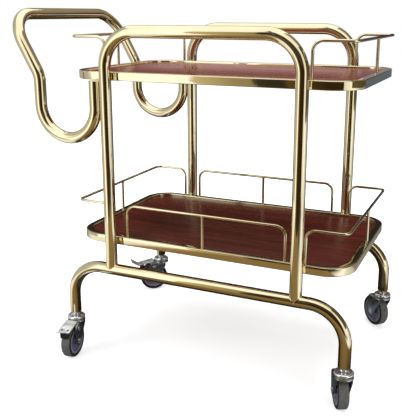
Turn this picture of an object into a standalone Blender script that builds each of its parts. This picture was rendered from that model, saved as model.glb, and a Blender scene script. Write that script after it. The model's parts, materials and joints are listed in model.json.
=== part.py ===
"""Two-shelf bar cart: bent tube frames, framed shelves, wire guard rails, a push handle and four casters.

Metres, +Z up. The handle is at the -X end, the front is the -Y side, and the floor is at z = 0.
Each caster is modelled in its own frame: X is the way its wheel trails, Y is its axle and Z its swivel axis.
"""

import math

import bmesh
import bpy
from mathutils import Matrix, Vector

# Clearance between pieces that touch, how far a cutter overruns its cut, and how near two points are one
SEAT_GAP = 0.0003
OVERRUN = 0.004
SAME_POINT = 0.00005

# Tube frame
TUBE_DIAMETER = 0.025
UPRIGHT_SPACING = 0.414
FRAME_SPACING = 0.405
HOOP_HEIGHT = 0.7204
HOOP_BEND_RADIUS = 0.072
ARCH_HEIGHT = 0.216
ARCH_BEND_RADIUS = 0.073
FOOT_SPACING = 0.615

# Push handle
LOOP_RADIUS = 0.069
LOOP_HEIGHT = 0.567
LEAN_START_HEIGHT = 0.6267
LEAN_BEND_RADIUS = 0.050
LEAN_ANGLE = math.radians(29.6)
GRIP_HEIGHT = 0.754
GRIP_BEND_RADIUS = 0.070

# Shelves
SHELF_LENGTH = 0.614
UPPER_RIM_HEIGHT = 0.639
LOWER_RIM_HEIGHT = 0.2864
RIM_DEPTH = 0.0176
RIM_WIDTH = 0.015
RIM_CORNER_RADIUS = 0.060
RIM_CHAMFER = 0.0014
LEDGE_WIDTH = 0.007
LEDGE_THICKNESS = 0.0033
BOARD_THICKNESS = 0.010
BOARD_CHAMFER = 0.0008

# Shelf bolts
BOLT_DIAMETER = 0.005
BOLT_HEAD_DIAMETER = 0.0085
BOLT_HEAD_THICKNESS = 0.004
BOLT_GRIP = 0.009

# Guard rails
RAIL_DIAMETER = 0.006
RAIL_RISE = 0.070
RAIL_BEND_RADIUS = 0.020
RAIL_PLAN_RADIUS = 0.015
RAIL_SEAT_DEPTH = 0.008
SIDE_RAIL_LENGTH = 0.354
END_RAIL_LEG_PLACE = 0.218

# Caster stem and swivel
SOCKET_DIAMETER = 0.022
SOCKET_DEPTH = 0.034
STEM_DIAMETER = 0.011
STEM_LENGTH = 0.029
STEM_TAPER = 0.0015
NECK_DIAMETER = 0.016
NECK_LENGTH = 0.0081
RACE_DIAMETER = 0.040
RACE_THICKNESS = 0.0052
RACE_ROUNDING = 0.0042
CAGE_DIAMETER = 0.036
CAGE_THICKNESS = 0.002
CAGE_BORE = 0.018
CROWN_RING_DIAMETER = 0.039
CROWN_RING_THICKNESS = 0.0034
KING_PIN_DIAMETER = 0.008
KING_PIN_HEAD_DIAMETER = 0.014
KING_PIN_HEAD_THICKNESS = 0.0022

# Caster fork and axle
CASTER_TRAIL = 0.022
FORK_WIDTH = 0.033
FORK_SHEET = 0.0022
FORK_BEND_RADIUS = 0.003
FORK_TAIL = 0.010
HOOD_REACH = 0.030
SHOULDER_REACH = 0.037
SHOULDER_DROP = 0.0095
BOSS_RADIUS = 0.0105
BOSS_FRONT_ANGLE = math.radians(10.0)
BOSS_REAR_ANGLE = math.radians(-160.0)
AXLE_DIAMETER = 0.006
AXLE_HEAD_DIAMETER = 0.012
AXLE_HEAD_THICKNESS = 0.0018

# Wheel
WHEEL_DIAMETER = 0.075
TYRE_WIDTH = 0.022
TYRE_THICKNESS = 0.008
TYRE_CROWN = 0.0016
TYRE_SHOULDER = 0.004
TYRE_CLEARANCE = 0.002
HUB_BARREL_DIAMETER = 0.016
HUB_WEB_THICKNESS = 0.008
HUB_RIM_THICKNESS = 0.004
HUB_RIM_INSET = 0.0008
HUB_SLOPE = 0.002

# Brake
PEDAL_SHEET = 0.0016
PEDAL_EAR_THICKNESS = 0.0014
PEDAL_START_GAP = 0.003
PEDAL_LENGTH = 0.042
PEDAL_FALL = 0.0095
LIP_LENGTH = 0.0185
LIP_RISE = 0.0085
LIP_BEND_RADIUS = 0.004
PIVOT_RISE = 0.030
PIVOT_BOSS_RADIUS = 0.0045
EAR_LENGTH = 0.014
EAR_REAR_ANGLE = math.radians(-170.0)
EAR_FRONT_ANGLE = math.radians(20.0)
RIVET_DIAMETER = 0.0044
RIVET_HEAD_DIAMETER = 0.009
RIVET_HEAD_THICKNESS = 0.0018
SHOE_WIDTH = 0.020
SHOE_CLEARANCE = 0.0045
SHOE_TOOTH_DEPTH = 0.0015
SHOE_TAB_WIDTH = 0.003
SHOE_TAB_LENGTH = 0.005
SHOE_TAB_SPACING = 0.0135
SHOE_LOW_ANGLE = math.radians(28.0)
SHOE_HIGH_ANGLE = math.radians(48.0)

# Counts
TUBE_SIDES = 16
TUBE_BEND_STEPS = 5
WIRE_SIDES = 8
WIRE_BEND_STEPS = 3
RIM_CORNER_STEPS = 5
SWIVEL_SIDES = 12
WHEEL_SIDES = 16
PIN_SIDES = 8
RACE_DOME_STEPS = 2
SHOE_TEETH = 5

# Edges that turn by more than this are shaded sharp
SHARP_ANGLE = math.radians(30.0)

# Which way each caster trails as the cart stands, and which casters have a brake
CASTERS = {
    "front_left": {"side": (-1, -1), "trail_angle": math.radians(-82.0), "brake": True},
    "rear_left": {"side": (-1, 1), "trail_angle": math.radians(218.0), "brake": True},
    "front_right": {"side": (1, -1), "trail_angle": math.radians(115.0), "brake": False},
    "rear_right": {"side": (1, 1), "trail_angle": math.radians(137.0), "brake": False},
}

# Sizes worked out from the ones above
TUBE_RADIUS = TUBE_DIAMETER / 2
FRAME_PLANE = FRAME_SPACING / 2
UPRIGHT_PLACE = UPRIGHT_SPACING / 2
SHELF_HALF_WIDTH = FRAME_PLANE - TUBE_RADIUS - SEAT_GAP
SHELF_HALF_LENGTH = SHELF_LENGTH / 2
RIM_MIDDLE = RIM_WIDTH / 2
RAIL_LINE = SHELF_HALF_WIDTH - RIM_MIDDLE
RAIL_END_LINE = SHELF_HALF_LENGTH - RIM_MIDDLE
RAIL_RADIUS = RAIL_DIAMETER / 2
WHEEL_RADIUS = WHEEL_DIAMETER / 2
TYRE_SEAT_RADIUS = WHEEL_RADIUS - TYRE_THICKNESS

# Heights of the swivel's layers, from the tyre up to the foot of the tube
CROWN_UNDERSIDE = WHEEL_DIAMETER + TYRE_CLEARANCE
CROWN_TOP = CROWN_UNDERSIDE + FORK_SHEET
CAGE_UNDERSIDE = CROWN_TOP + CROWN_RING_THICKNESS + SEAT_GAP
RACE_UNDERSIDE = CAGE_UNDERSIDE + CAGE_THICKNESS + SEAT_GAP
RACE_TOP = RACE_UNDERSIDE + RACE_THICKNESS
FOOT_END_HEIGHT = RACE_TOP + NECK_LENGTH + SEAT_GAP

# The brake pedal's hinge line and the inner faces of the fork that it works between
PIVOT_HEIGHT = WHEEL_RADIUS + PIVOT_RISE
FORK_INSIDE = FORK_WIDTH / 2 - FORK_SHEET
PEDAL_HALF_WIDTH = FORK_INSIDE - SEAT_GAP
PEDAL_START = RACE_DIAMETER / 2 + PEDAL_START_GAP


# Shapes

def loft(mesh, rings, closed=False):
    """Joins rings of points in order, end to start if closed, and otherwise with a flat face at each end."""
    loops = [[mesh.verts.new(point) for point in ring] for ring in rings]
    followers = loops[1:] + loops[:1] if closed else loops[1:]
    for loop, follower in zip(loops, followers):
        for index in range(len(loop)):
            after = (index + 1) % len(loop)
            mesh.faces.new((loop[index], loop[after], follower[after], follower[index]))
    if not closed:
        mesh.faces.new(loops[0])
        mesh.faces.new(loops[-1])


def turn(mesh, profile, sides, place=Matrix(), closed=False):
    """Turns a profile of (radius, height) pairs round the local Z axis."""
    rings = []
    for radius, height in profile:
        angles = [math.tau * index / sides for index in range(sides)]
        ring = [(radius * math.cos(angle), radius * math.sin(angle), height) for angle in angles]
        rings.append([place @ Vector(point) for point in ring])
    loft(mesh, rings, closed)


def prism(mesh, outline, low, high):
    """Extrudes an outline in the X-Z plane along Y, from low to high."""
    loft(mesh, [[(x, y, z) for x, z in outline] for y in (low, high)])


def box_prism(mesh, x, y, length, width, low, high):
    """A box centred on x and y, from low to high."""
    outline = [(x - length / 2, low), (x + length / 2, low), (x + length / 2, high), (x - length / 2, high)]
    prism(mesh, outline, y - width / 2, y + width / 2)


def rounded_path(corners, radii, quarter_steps):
    """A line through corners, the inner ones rounded to the radii with that many steps in a quarter turn."""
    path = [corners[0]]
    for before, corner, after, radius in zip(corners, corners[1:], corners[2:], radii):
        back = (before - corner).normalized()
        onward = (after - corner).normalized()
        angle = math.pi - back.angle(onward)
        start = corner + back * radius * math.tan(angle / 2)
        centre = corner + (back + onward).normalized() * radius / math.cos(angle / 2)
        axis = onward.cross(back).normalized()
        steps = max(2, round(quarter_steps * angle / math.radians(90)))
        for step in range(steps + 1):
            path.append(centre + Matrix.Rotation(angle * step / steps, 3, axis) @ (start - centre))
    path.append(corners[-1])
    steps = [(after - before).length for before, after in zip(path, path[1:])]
    return path[:1] + [point for point, step in zip(path[1:], steps) if step > SAME_POINT]


def tube(mesh, path, radius, sides):
    """A round bar along a path that sets out straight up, with a corner of its section towards +Y."""
    runs = [(after - before).normalized() for before, after in zip(path, path[1:])]
    headings = [runs[0]]
    headings += [(before + after).normalized() for before, after in zip(runs, runs[1:])]
    headings.append(runs[-1])
    normal = Vector((0, 1, 0))
    rings = []
    for index, (point, heading) in enumerate(zip(path, headings)):
        if index:
            normal = headings[index - 1].rotation_difference(heading) @ normal
        sideways = heading.cross(normal)
        ring = []
        for side in range(sides):
            angle = math.tau * side / sides
            ring.append(point + radius * (math.cos(angle) * normal + math.sin(angle) * sideways))
        rings.append(ring)
    loft(mesh, rings)


def round_rectangle(half_length, half_width, radius, height):
    """The points of a rectangle with round corners, at a height."""
    points = []
    for quarter, (side_x, side_y) in enumerate(((1, 1), (-1, 1), (-1, -1), (1, -1))):
        centre = Vector((side_x * (half_length - radius), side_y * (half_width - radius), height))
        for step in range(RIM_CORNER_STEPS + 1):
            angle = math.radians(90) * (quarter + step / RIM_CORNER_STEPS)
            points.append(centre + radius * Vector((math.cos(angle), math.sin(angle), 0)))
    return points


def arc(centre, radius, start, end, steps):
    """Points (x, z) along an arc in the X-Z plane."""
    angles = [start + (end - start) * step / steps for step in range(steps + 1)]
    return [(centre[0] + radius * math.cos(angle), centre[1] + radius * math.sin(angle)) for angle in angles]


def sheet_outline(line, thickness):
    """The outline of a sheet bent along a line in the X-Z plane, with the line as its upper face."""
    line = [Vector(point) for point in line]
    runs = [(after - before).normalized() for before, after in zip(line, line[1:])]
    headings = [runs[0]]
    headings += [(before + after).normalized() for before, after in zip(runs, runs[1:])]
    headings.append(runs[-1])
    under = [point + thickness * Vector((heading.y, -heading.x)) for point, heading in zip(line, headings)]
    return [tuple(point) for point in line + under[::-1]]


def bore_radius(radius, sides):
    """The corner radius of a many-sided bore whose flats clear a pin of that radius."""
    return (radius + SEAT_GAP) / math.cos(math.pi / sides)


# Objects

def finish(name, colour, roughness, metallic):
    material = bpy.data.materials.new(name)
    material.use_nodes = True
    shader = material.node_tree.nodes["Principled BSDF"]
    shader.inputs["Base Color"].default_value = (*colour, 1)
    shader.inputs["Roughness"].default_value = roughness
    shader.inputs["Metallic"].default_value = metallic
    material.diffuse_color = (*colour, 1)
    return material


def anchor(name, parent=None, location=(0, 0, 0), angle=0):
    """An empty that carries pieces, turned about Z."""
    empty = bpy.data.objects.new(name, None)
    empty.parent = parent
    empty.location = location
    empty.rotation_euler = (0, 0, angle)
    bpy.context.scene.collection.objects.link(empty)
    return empty


def solid(name, mesh, material, parent):
    """A named object from a built mesh, round faces shaded smooth."""
    bmesh.ops.recalc_face_normals(mesh, faces=mesh.faces)
    data = bpy.data.meshes.new(name)
    mesh.to_mesh(data)
    mesh.free()
    data.shade_smooth()
    data.set_sharp_from_angle(angle=SHARP_ANGLE)
    if material:
        data.materials.append(material)
    piece = bpy.data.objects.new(name, data)
    piece.parent = parent
    bpy.context.scene.collection.objects.link(piece)
    return piece


def combine(piece, name, mesh, operation):
    """Cuts or joins a helper shape, in the piece's own frame, and leaves the helper out of the model."""
    helper = solid(piece.name + "_" + name, mesh, None, piece.parent)
    helper.hide_render = True
    helper.display_type = "WIRE"
    boolean = piece.modifiers.new(name, "BOOLEAN")
    boolean.operation = operation
    boolean.solver = "EXACT"
    boolean.object = helper


def facing(direction, origin):
    """Places a turned shape at an origin with its axis along a direction."""
    return Matrix.Translation(origin) @ Vector((0, 0, 1)).rotation_difference(direction).to_matrix().to_4x4()


# Side frames

def upright_bolt_places(side_y):
    """Where the shelf bolts of one side cross the face between rim and tube."""
    for rim_height in (UPPER_RIM_HEIGHT, LOWER_RIM_HEIGHT):
        for side_x in (-1, 1):
            yield Vector((side_x * UPRIGHT_PLACE, side_y * SHELF_HALF_WIDTH, rim_height - RIM_DEPTH / 2))


def make_hoop(name, side_y, cart, gold):
    plane = side_y * FRAME_PLANE
    corners = [
        Vector((-UPRIGHT_PLACE, plane, ARCH_HEIGHT)),
        Vector((-UPRIGHT_PLACE, plane, HOOP_HEIGHT)),
        Vector((UPRIGHT_PLACE, plane, HOOP_HEIGHT)),
        Vector((UPRIGHT_PLACE, plane, ARCH_HEIGHT)),
    ]
    mesh = bmesh.new()
    tube(mesh, rounded_path(corners, [HOOP_BEND_RADIUS] * 2, TUBE_BEND_STEPS), TUBE_RADIUS, TUBE_SIDES)
    hoop = solid(name, mesh, gold, cart)

    # The feet are coped to sit on the base arch
    mesh = bmesh.new()
    cope_half_length = UPRIGHT_PLACE + TUBE_DIAMETER
    start = facing(Vector((1, 0, 0)), Vector((-cope_half_length, plane, ARCH_HEIGHT)))
    cope = TUBE_RADIUS + SEAT_GAP
    turn(mesh, [(cope, 0), (cope, 2 * cope_half_length)], TUBE_SIDES, start)
    combine(hoop, "cope", mesh, "DIFFERENCE")

    mesh = bmesh.new()
    bore = bore_radius(BOLT_DIAMETER / 2, PIN_SIDES)
    for place in upright_bolt_places(side_y):
        outward = Vector((0, side_y, 0))
        depth = SEAT_GAP + BOLT_GRIP + SEAT_GAP
        turn(mesh, [(bore, -OVERRUN), (bore, depth)], PIN_SIDES, facing(outward, place))
    combine(hoop, "bolt_holes", mesh, "DIFFERENCE")


def make_base_arch(name, side_y, cart, gold):
    plane = side_y * FRAME_PLANE
    foot = FOOT_SPACING / 2
    corners = [
        Vector((-foot, plane, FOOT_END_HEIGHT)),
        Vector((-foot, plane, ARCH_HEIGHT)),
        Vector((foot, plane, ARCH_HEIGHT)),
        Vector((foot, plane, FOOT_END_HEIGHT)),
    ]
    mesh = bmesh.new()
    tube(mesh, rounded_path(corners, [ARCH_BEND_RADIUS] * 2, TUBE_BEND_STEPS), TUBE_RADIUS, TUBE_SIDES)
    arch = solid(name, mesh, gold, cart)

    # Each foot is open for the caster's socket
    mesh = bmesh.new()
    bore = bore_radius(SOCKET_DIAMETER / 2, SWIVEL_SIDES)
    for side_x in (-1, 1):
        start = Matrix.Translation((side_x * foot, plane, FOOT_END_HEIGHT))
        turn(mesh, [(bore, -OVERRUN), (bore, SOCKET_DEPTH + SEAT_GAP)], SWIVEL_SIDES, start)
    combine(arch, "foot_bores", mesh, "DIFFERENCE")


def make_push_handle(cart, gold):
    """One tube: down beside each upright, round a loop, up and out to the grip bar."""
    inner = -(UPRIGHT_PLACE + TUBE_DIAMETER + SEAT_GAP)
    outer = inner - 2 * LOOP_RADIUS
    loop_bottom = LOOP_HEIGHT - LOOP_RADIUS
    arm_top = UPPER_RIM_HEIGHT - RIM_DEPTH
    grip = outer - (GRIP_HEIGHT - LEAN_START_HEIGHT) * math.tan(LEAN_ANGLE)
    profile = [
        (inner, arm_top),
        (inner, loop_bottom),
        (outer, loop_bottom),
        (outer, LEAN_START_HEIGHT),
        (grip, GRIP_HEIGHT),
    ]
    front = [Vector((x, -FRAME_PLANE, z)) for x, z in profile]
    rear = [Vector((x, FRAME_PLANE, z)) for x, z in reversed(profile)]
    arm_radii = [LOOP_RADIUS, LOOP_RADIUS, LEAN_BEND_RADIUS, GRIP_BEND_RADIUS]
    path = rounded_path(front + rear, arm_radii + arm_radii[::-1], TUBE_BEND_STEPS)
    mesh = bmesh.new()
    tube(mesh, path, TUBE_RADIUS, TUBE_SIDES)
    solid("push_handle", mesh, gold, cart)


# Shelves

def rim_ring(inset, height):
    half_length = SHELF_HALF_LENGTH - inset
    return round_rectangle(half_length, SHELF_HALF_WIDTH - inset, RIM_CORNER_RADIUS - inset, height)


def rail_leg_places(rails):
    """Plan positions of the legs and middle posts of the named kinds of rail on one rim."""
    places = []
    for side in (-1, 1):
        if "ends" in rails:
            places += [(side * END_RAIL_LEG_PLACE, -RAIL_LINE), (side * END_RAIL_LEG_PLACE, RAIL_LINE)]
            places.append((side * RAIL_END_LINE, 0))
        if "sides" in rails:
            places += [(x, side * RAIL_LINE) for x in (-SIDE_RAIL_LENGTH / 2, 0, SIDE_RAIL_LENGTH / 2)]
    return places


def make_rim(name, top, rails, cart, gold):
    """A frame of rectangular section with a ledge inside it for the board."""
    bottom = top - RIM_DEPTH
    section = [
        (RIM_CHAMFER, bottom),
        (0, bottom + RIM_CHAMFER),
        (0, top - RIM_CHAMFER),
        (RIM_CHAMFER, top),
        (RIM_WIDTH, top),
        (RIM_WIDTH, bottom + LEDGE_THICKNESS),
        (RIM_WIDTH + LEDGE_WIDTH, bottom + LEDGE_THICKNESS),
        (RIM_WIDTH + LEDGE_WIDTH, bottom),
    ]
    mesh = bmesh.new()
    loft(mesh, [rim_ring(inset, height) for inset, height in section], closed=True)
    rim = solid(name, mesh, gold, cart)

    # Counterbored bolt holes, driven outward into the uprights
    mesh = bmesh.new()
    head_bore = bore_radius(BOLT_HEAD_DIAMETER / 2, PIN_SIDES)
    shank_bore = bore_radius(BOLT_DIAMETER / 2, PIN_SIDES)
    head_depth = BOLT_HEAD_THICKNESS + SEAT_GAP
    profile = [
        (head_bore, -OVERRUN),
        (head_bore, head_depth),
        (shank_bore, head_depth),
        (shank_bore, RIM_WIDTH + OVERRUN),
    ]
    for side_y in (-1, 1):
        for side_x in (-1, 1):
            inner_face = side_y * (SHELF_HALF_WIDTH - RIM_WIDTH)
            start = Vector((side_x * UPRIGHT_PLACE, inner_face, top - RIM_DEPTH / 2))
            turn(mesh, profile, PIN_SIDES, facing(Vector((0, side_y, 0)), start))
    combine(rim, "bolt_holes", mesh, "DIFFERENCE")

    # Blind holes that the guard rails' legs stand in
    mesh = bmesh.new()
    bore = bore_radius(RAIL_RADIUS, WIRE_SIDES)
    for x, y in rail_leg_places(rails):
        start = Matrix.Translation((x, y, top))
        turn(mesh, [(bore, -RAIL_SEAT_DEPTH - SEAT_GAP), (bore, OVERRUN)], WIRE_SIDES, start)
    combine(rim, "rail_holes", mesh, "DIFFERENCE")


def make_board(name, rim_top, cart, wood):
    """The board lies on the rim's ledge, below the rim's top."""
    bottom = rim_top - RIM_DEPTH + LEDGE_THICKNESS + SEAT_GAP
    top = bottom + BOARD_THICKNESS
    inset = RIM_WIDTH + SEAT_GAP
    mesh = bmesh.new()
    sides = [rim_ring(inset, bottom), rim_ring(inset, top - BOARD_CHAMFER)]
    loft(mesh, sides + [rim_ring(inset + BOARD_CHAMFER, top)])
    solid(name, mesh, wood, cart)


def make_shelf_bolt(name, place, side_y, cart, zinc):
    """A cap bolt from the rim's counterbore into the upright, with its axis through place."""
    head_seat = -(RIM_WIDTH - BOLT_HEAD_THICKNESS - SEAT_GAP)
    head_radius = BOLT_HEAD_DIAMETER / 2
    shank_radius = BOLT_DIAMETER / 2
    mesh = bmesh.new()
    profile = [
        (head_radius, head_seat - BOLT_HEAD_THICKNESS),
        (head_radius, head_seat - SEAT_GAP),
        (shank_radius, head_seat - SEAT_GAP),
        (shank_radius, SEAT_GAP + BOLT_GRIP),
    ]
    turn(mesh, profile, PIN_SIDES, facing(Vector((0, side_y, 0)), place))
    solid(name, mesh, zinc, cart)


# Guard rails

def make_rail(name, corners, radii, post, cart, gold):
    """A bent wire with both legs set in the rim, and a post up from its foot to the middle of the run."""
    mesh = bmesh.new()
    tube(mesh, rounded_path(corners, radii, WIRE_BEND_STEPS), RAIL_RADIUS, WIRE_SIDES)
    rail = solid(name, mesh, gold, cart)

    # The post is turned by half a side, so that no corner of it lies on a corner of the run
    mesh = bmesh.new()
    start = Matrix.Translation(post) @ Matrix.Rotation(math.pi / WIRE_SIDES, 4, "Z")
    turn(mesh, [(RAIL_RADIUS, 0), (RAIL_RADIUS, RAIL_SEAT_DEPTH + RAIL_RISE)], WIRE_SIDES, start)
    combine(rail, "post", mesh, "UNION")


def make_end_rail(name, side_x, rim_top, cart, gold):
    foot = rim_top - RAIL_SEAT_DEPTH
    run = rim_top + RAIL_RISE
    leg = side_x * END_RAIL_LEG_PLACE
    end = side_x * RAIL_END_LINE
    corners = [
        Vector((leg, -RAIL_LINE, foot)),
        Vector((leg, -RAIL_LINE, run)),
        Vector((end, -RAIL_LINE, run)),
        Vector((end, RAIL_LINE, run)),
        Vector((leg, RAIL_LINE, run)),
        Vector((leg, RAIL_LINE, foot)),
    ]
    radii = [RAIL_BEND_RADIUS, RAIL_PLAN_RADIUS, RAIL_PLAN_RADIUS, RAIL_BEND_RADIUS]
    make_rail(name, corners, radii, Vector((end, 0, foot)), cart, gold)


def make_side_rail(name, side_y, rim_top, cart, gold):
    foot = rim_top - RAIL_SEAT_DEPTH
    run = rim_top + RAIL_RISE
    line = side_y * RAIL_LINE
    corners = [
        Vector((-SIDE_RAIL_LENGTH / 2, line, foot)),
        Vector((-SIDE_RAIL_LENGTH / 2, line, run)),
        Vector((SIDE_RAIL_LENGTH / 2, line, run)),
        Vector((SIDE_RAIL_LENGTH / 2, line, foot)),
    ]
    make_rail(name, corners, [RAIL_BEND_RADIUS] * 2, Vector((0, line, foot)), cart, gold)


# Casters

def make_stem_socket(name, parent, plastic):
    """A sleeve in the tube's foot that grips the stem."""
    outer = SOCKET_DIAMETER / 2
    inner = bore_radius(STEM_DIAMETER / 2, SWIVEL_SIDES)
    low = FOOT_END_HEIGHT
    high = FOOT_END_HEIGHT + SOCKET_DEPTH
    mesh = bmesh.new()
    turn(mesh, [(inner, low), (outer, low), (outer, high), (inner, high)], SWIVEL_SIDES, closed=True)
    solid(name, mesh, plastic, parent)


def make_stem(name, parent, zinc):
    """Stem, neck, upper race and king pin, all one turned and headed piece."""
    stem = STEM_DIAMETER / 2
    race = RACE_DIAMETER / 2
    pin = KING_PIN_DIAMETER / 2
    head = KING_PIN_HEAD_DIAMETER / 2
    head_top = CROWN_UNDERSIDE - SEAT_GAP
    shoulder = FOOT_END_HEIGHT - SEAT_GAP
    top = FOOT_END_HEIGHT + STEM_LENGTH
    profile = [
        (head, head_top - KING_PIN_HEAD_THICKNESS),
        (head, head_top),
        (pin, head_top),
        (pin, RACE_UNDERSIDE),
        (race, RACE_UNDERSIDE),
    ]
    dome = (race - RACE_ROUNDING, RACE_TOP - RACE_ROUNDING)
    profile += arc(dome, RACE_ROUNDING, 0, math.radians(90), RACE_DOME_STEPS)
    profile += [
        (NECK_DIAMETER / 2, RACE_TOP),
        (NECK_DIAMETER / 2, shoulder),
        (stem, shoulder),
        (stem, top - STEM_TAPER),
        (stem - STEM_TAPER, top),
    ]
    mesh = bmesh.new()
    turn(mesh, profile, SWIVEL_SIDES)
    solid(name, mesh, zinc, parent)


def make_ball_cage(name, parent, zinc):
    inner = CAGE_BORE / 2
    outer = CAGE_DIAMETER / 2
    low = CAGE_UNDERSIDE
    high = CAGE_UNDERSIDE + CAGE_THICKNESS
    mesh = bmesh.new()
    turn(mesh, [(inner, low), (outer, low), (outer, high), (inner, high)], SWIVEL_SIDES, closed=True)
    solid(name, mesh, zinc, parent)


def make_fork(name, brake, parent, steel):
    """A pressed fork: a crown with its lower race, a hood over the wheel and two legs down to the axle."""
    hood = PEDAL_START - PEDAL_START_GAP if brake else HOOD_REACH
    axle = (CASTER_TRAIL, WHEEL_RADIUS)
    outline = [(-FORK_TAIL, CROWN_TOP), (hood, CROWN_TOP), (SHOULDER_REACH, CROWN_TOP - SHOULDER_DROP)]
    outline += arc(axle, BOSS_RADIUS, BOSS_FRONT_ANGLE, BOSS_REAR_ANGLE, TUBE_BEND_STEPS)
    outline.append((-FORK_TAIL, CROWN_TOP - SHOULDER_DROP))
    half_width = FORK_WIDTH / 2
    mesh = bmesh.new()
    prism(mesh, outline, -half_width, half_width)
    top_edges = [
        edge for edge in mesh.edges
        if all(abs(vert.co.z - CROWN_TOP) < SAME_POINT for vert in edge.verts)
        and abs(edge.verts[0].co.y - edge.verts[1].co.y) < SAME_POINT
    ]
    bmesh.ops.bevel(mesh, geom=top_edges, offset=FORK_BEND_RADIUS, segments=2, profile=0.5, affect="EDGES")
    fork = solid(name, mesh, steel, parent)

    # The crown is a round plate with the lower race raised on it
    ring = CROWN_RING_DIAMETER / 2
    plate = RACE_DIAMETER / 2
    mesh = bmesh.new()
    profile = [
        (plate, CROWN_UNDERSIDE),
        (plate, CROWN_TOP),
        (ring, CROWN_TOP),
        (ring, CROWN_TOP + CROWN_RING_THICKNESS),
    ]
    turn(mesh, profile, SWIVEL_SIDES)
    combine(fork, "crown", mesh, "UNION")

    # The space between the legs
    reach = SHOULDER_REACH + OVERRUN
    floor = WHEEL_RADIUS - BOSS_RADIUS - OVERRUN
    rear = -(RACE_DIAMETER / 2 + OVERRUN)
    mesh = bmesh.new()
    hollow = [(rear, floor), (rear, CROWN_UNDERSIDE)]
    if brake:
        hollow += [(hood, CROWN_UNDERSIDE), (hood, CROWN_TOP + OVERRUN), (reach, CROWN_TOP + OVERRUN)]
    else:
        hollow.append((reach, CROWN_UNDERSIDE))
    hollow.append((reach, floor))
    prism(mesh, hollow, -FORK_INSIDE, FORK_INSIDE)
    combine(fork, "hollow", mesh, "DIFFERENCE")

    # Holes for the king pin, the axle and, with a brake, the pedal's rivets
    mesh = bmesh.new()
    pin = bore_radius(KING_PIN_DIAMETER / 2, SWIVEL_SIDES)
    top = CROWN_TOP + CROWN_RING_THICKNESS + OVERRUN
    turn(mesh, [(pin, CROWN_UNDERSIDE - OVERRUN), (pin, top)], SWIVEL_SIDES)
    across = half_width + OVERRUN
    bore = bore_radius(AXLE_DIAMETER / 2, PIN_SIDES)
    start = facing(Vector((0, 1, 0)), Vector((CASTER_TRAIL, -across, WHEEL_RADIUS)))
    turn(mesh, [(bore, 0), (bore, 2 * across)], PIN_SIDES, start)
    if brake:
        bore = bore_radius(RIVET_DIAMETER / 2, PIN_SIDES)
        start = facing(Vector((0, 1, 0)), Vector((CASTER_TRAIL, -across, PIVOT_HEIGHT)))
        turn(mesh, [(bore, 0), (bore, 2 * across)], PIN_SIDES, start)
    combine(fork, "holes", mesh, "DIFFERENCE")


def make_axle(name, parent, zinc):
    """A riveted axle with a domed head outside each leg."""
    shank = AXLE_DIAMETER / 2
    head = AXLE_HEAD_DIAMETER / 2
    seat = FORK_WIDTH / 2 + SEAT_GAP
    end = seat + AXLE_HEAD_THICKNESS
    half = [(shank, seat), (head, seat), (shank, end)]
    profile = [(radius, -height) for radius, height in reversed(half)] + half
    mesh = bmesh.new()
    turn(mesh, profile, PIN_SIDES, facing(Vector((0, 1, 0)), Vector((CASTER_TRAIL, 0, WHEEL_RADIUS))))
    solid(name, mesh, zinc, parent)


def mirrored(half):
    """A closed profile from its upper half, mirrored in height."""
    return half + [(radius, -height) for radius, height in reversed(half)]


def make_hub(name, wheel, plastic):
    """A hub with a long barrel, a thin web and a rim that carries the tyre."""
    bore = bore_radius(AXLE_DIAMETER / 2, PIN_SIDES)
    barrel = HUB_BARREL_DIAMETER / 2
    barrel_end = FORK_INSIDE - SEAT_GAP
    web = HUB_WEB_THICKNESS / 2
    rim_end = TYRE_WIDTH / 2 - HUB_RIM_INSET
    rim_inside = TYRE_SEAT_RADIUS - HUB_RIM_THICKNESS
    half = [
        (bore, barrel_end),
        (barrel, barrel_end),
        (barrel + HUB_SLOPE, web),
        (rim_inside - HUB_SLOPE, web),
        (rim_inside, rim_end),
        (TYRE_SEAT_RADIUS, rim_end),
    ]
    mesh = bmesh.new()
    turn(mesh, mirrored(half), WHEEL_SIDES, facing(Vector((0, 1, 0)), Vector()), closed=True)
    solid(name, mesh, plastic, wheel)


def make_tyre(name, wheel, rubber):
    inner = TYRE_SEAT_RADIUS + SEAT_GAP
    side = TYRE_WIDTH / 2
    half = [
        (inner, side - HUB_RIM_INSET),
        (WHEEL_RADIUS - TYRE_SHOULDER, side),
        (WHEEL_RADIUS - TYRE_CROWN, side - TYRE_SHOULDER / 2),
        (WHEEL_RADIUS, side - TYRE_SHOULDER),
    ]
    mesh = bmesh.new()
    turn(mesh, mirrored(half), WHEEL_SIDES, facing(Vector((0, 1, 0)), Vector()), closed=True)
    solid(name, mesh, rubber, wheel)


# Brake, in the frame of an anchor on the pedal's hinge line

def pedal_line():
    """The pedal's upper face: a tread that falls away from the stem, and a lip turned up at its end."""
    start = (PEDAL_START - CASTER_TRAIL, CROWN_TOP + CROWN_RING_THICKNESS + PEDAL_SHEET - PIVOT_HEIGHT)
    low = (start[0] + PEDAL_LENGTH, start[1] - PEDAL_FALL)
    tip = (low[0] + LIP_LENGTH, low[1] + LIP_RISE)
    corners = [Vector((x, 0, z)) for x, z in (start, low, tip)]
    path = rounded_path(corners, [LIP_BEND_RADIUS], TUBE_BEND_STEPS)
    return [(point.x, point.z) for point in path]


def tread_height(x, line):
    """The height of the tread's underside at a distance from the hinge line."""
    (start_x, start_z), (low_x, low_z) = line[:2]
    fall = (start_z - low_z) / (low_x - start_x)
    return start_z - fall * (x - start_x) - PEDAL_SHEET * math.hypot(1, fall)


def shoe_tab_places():
    """How far the shoe's tabs are from the hinge line, and where they stand across the pedal."""
    middle = (SHOE_LOW_ANGLE + SHOE_HIGH_ANGLE) / 2
    along = (WHEEL_RADIUS + SHOE_CLEARANCE) * math.cos(middle)
    return along, [-SHOE_TAB_SPACING / 2, SHOE_TAB_SPACING / 2]


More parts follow.
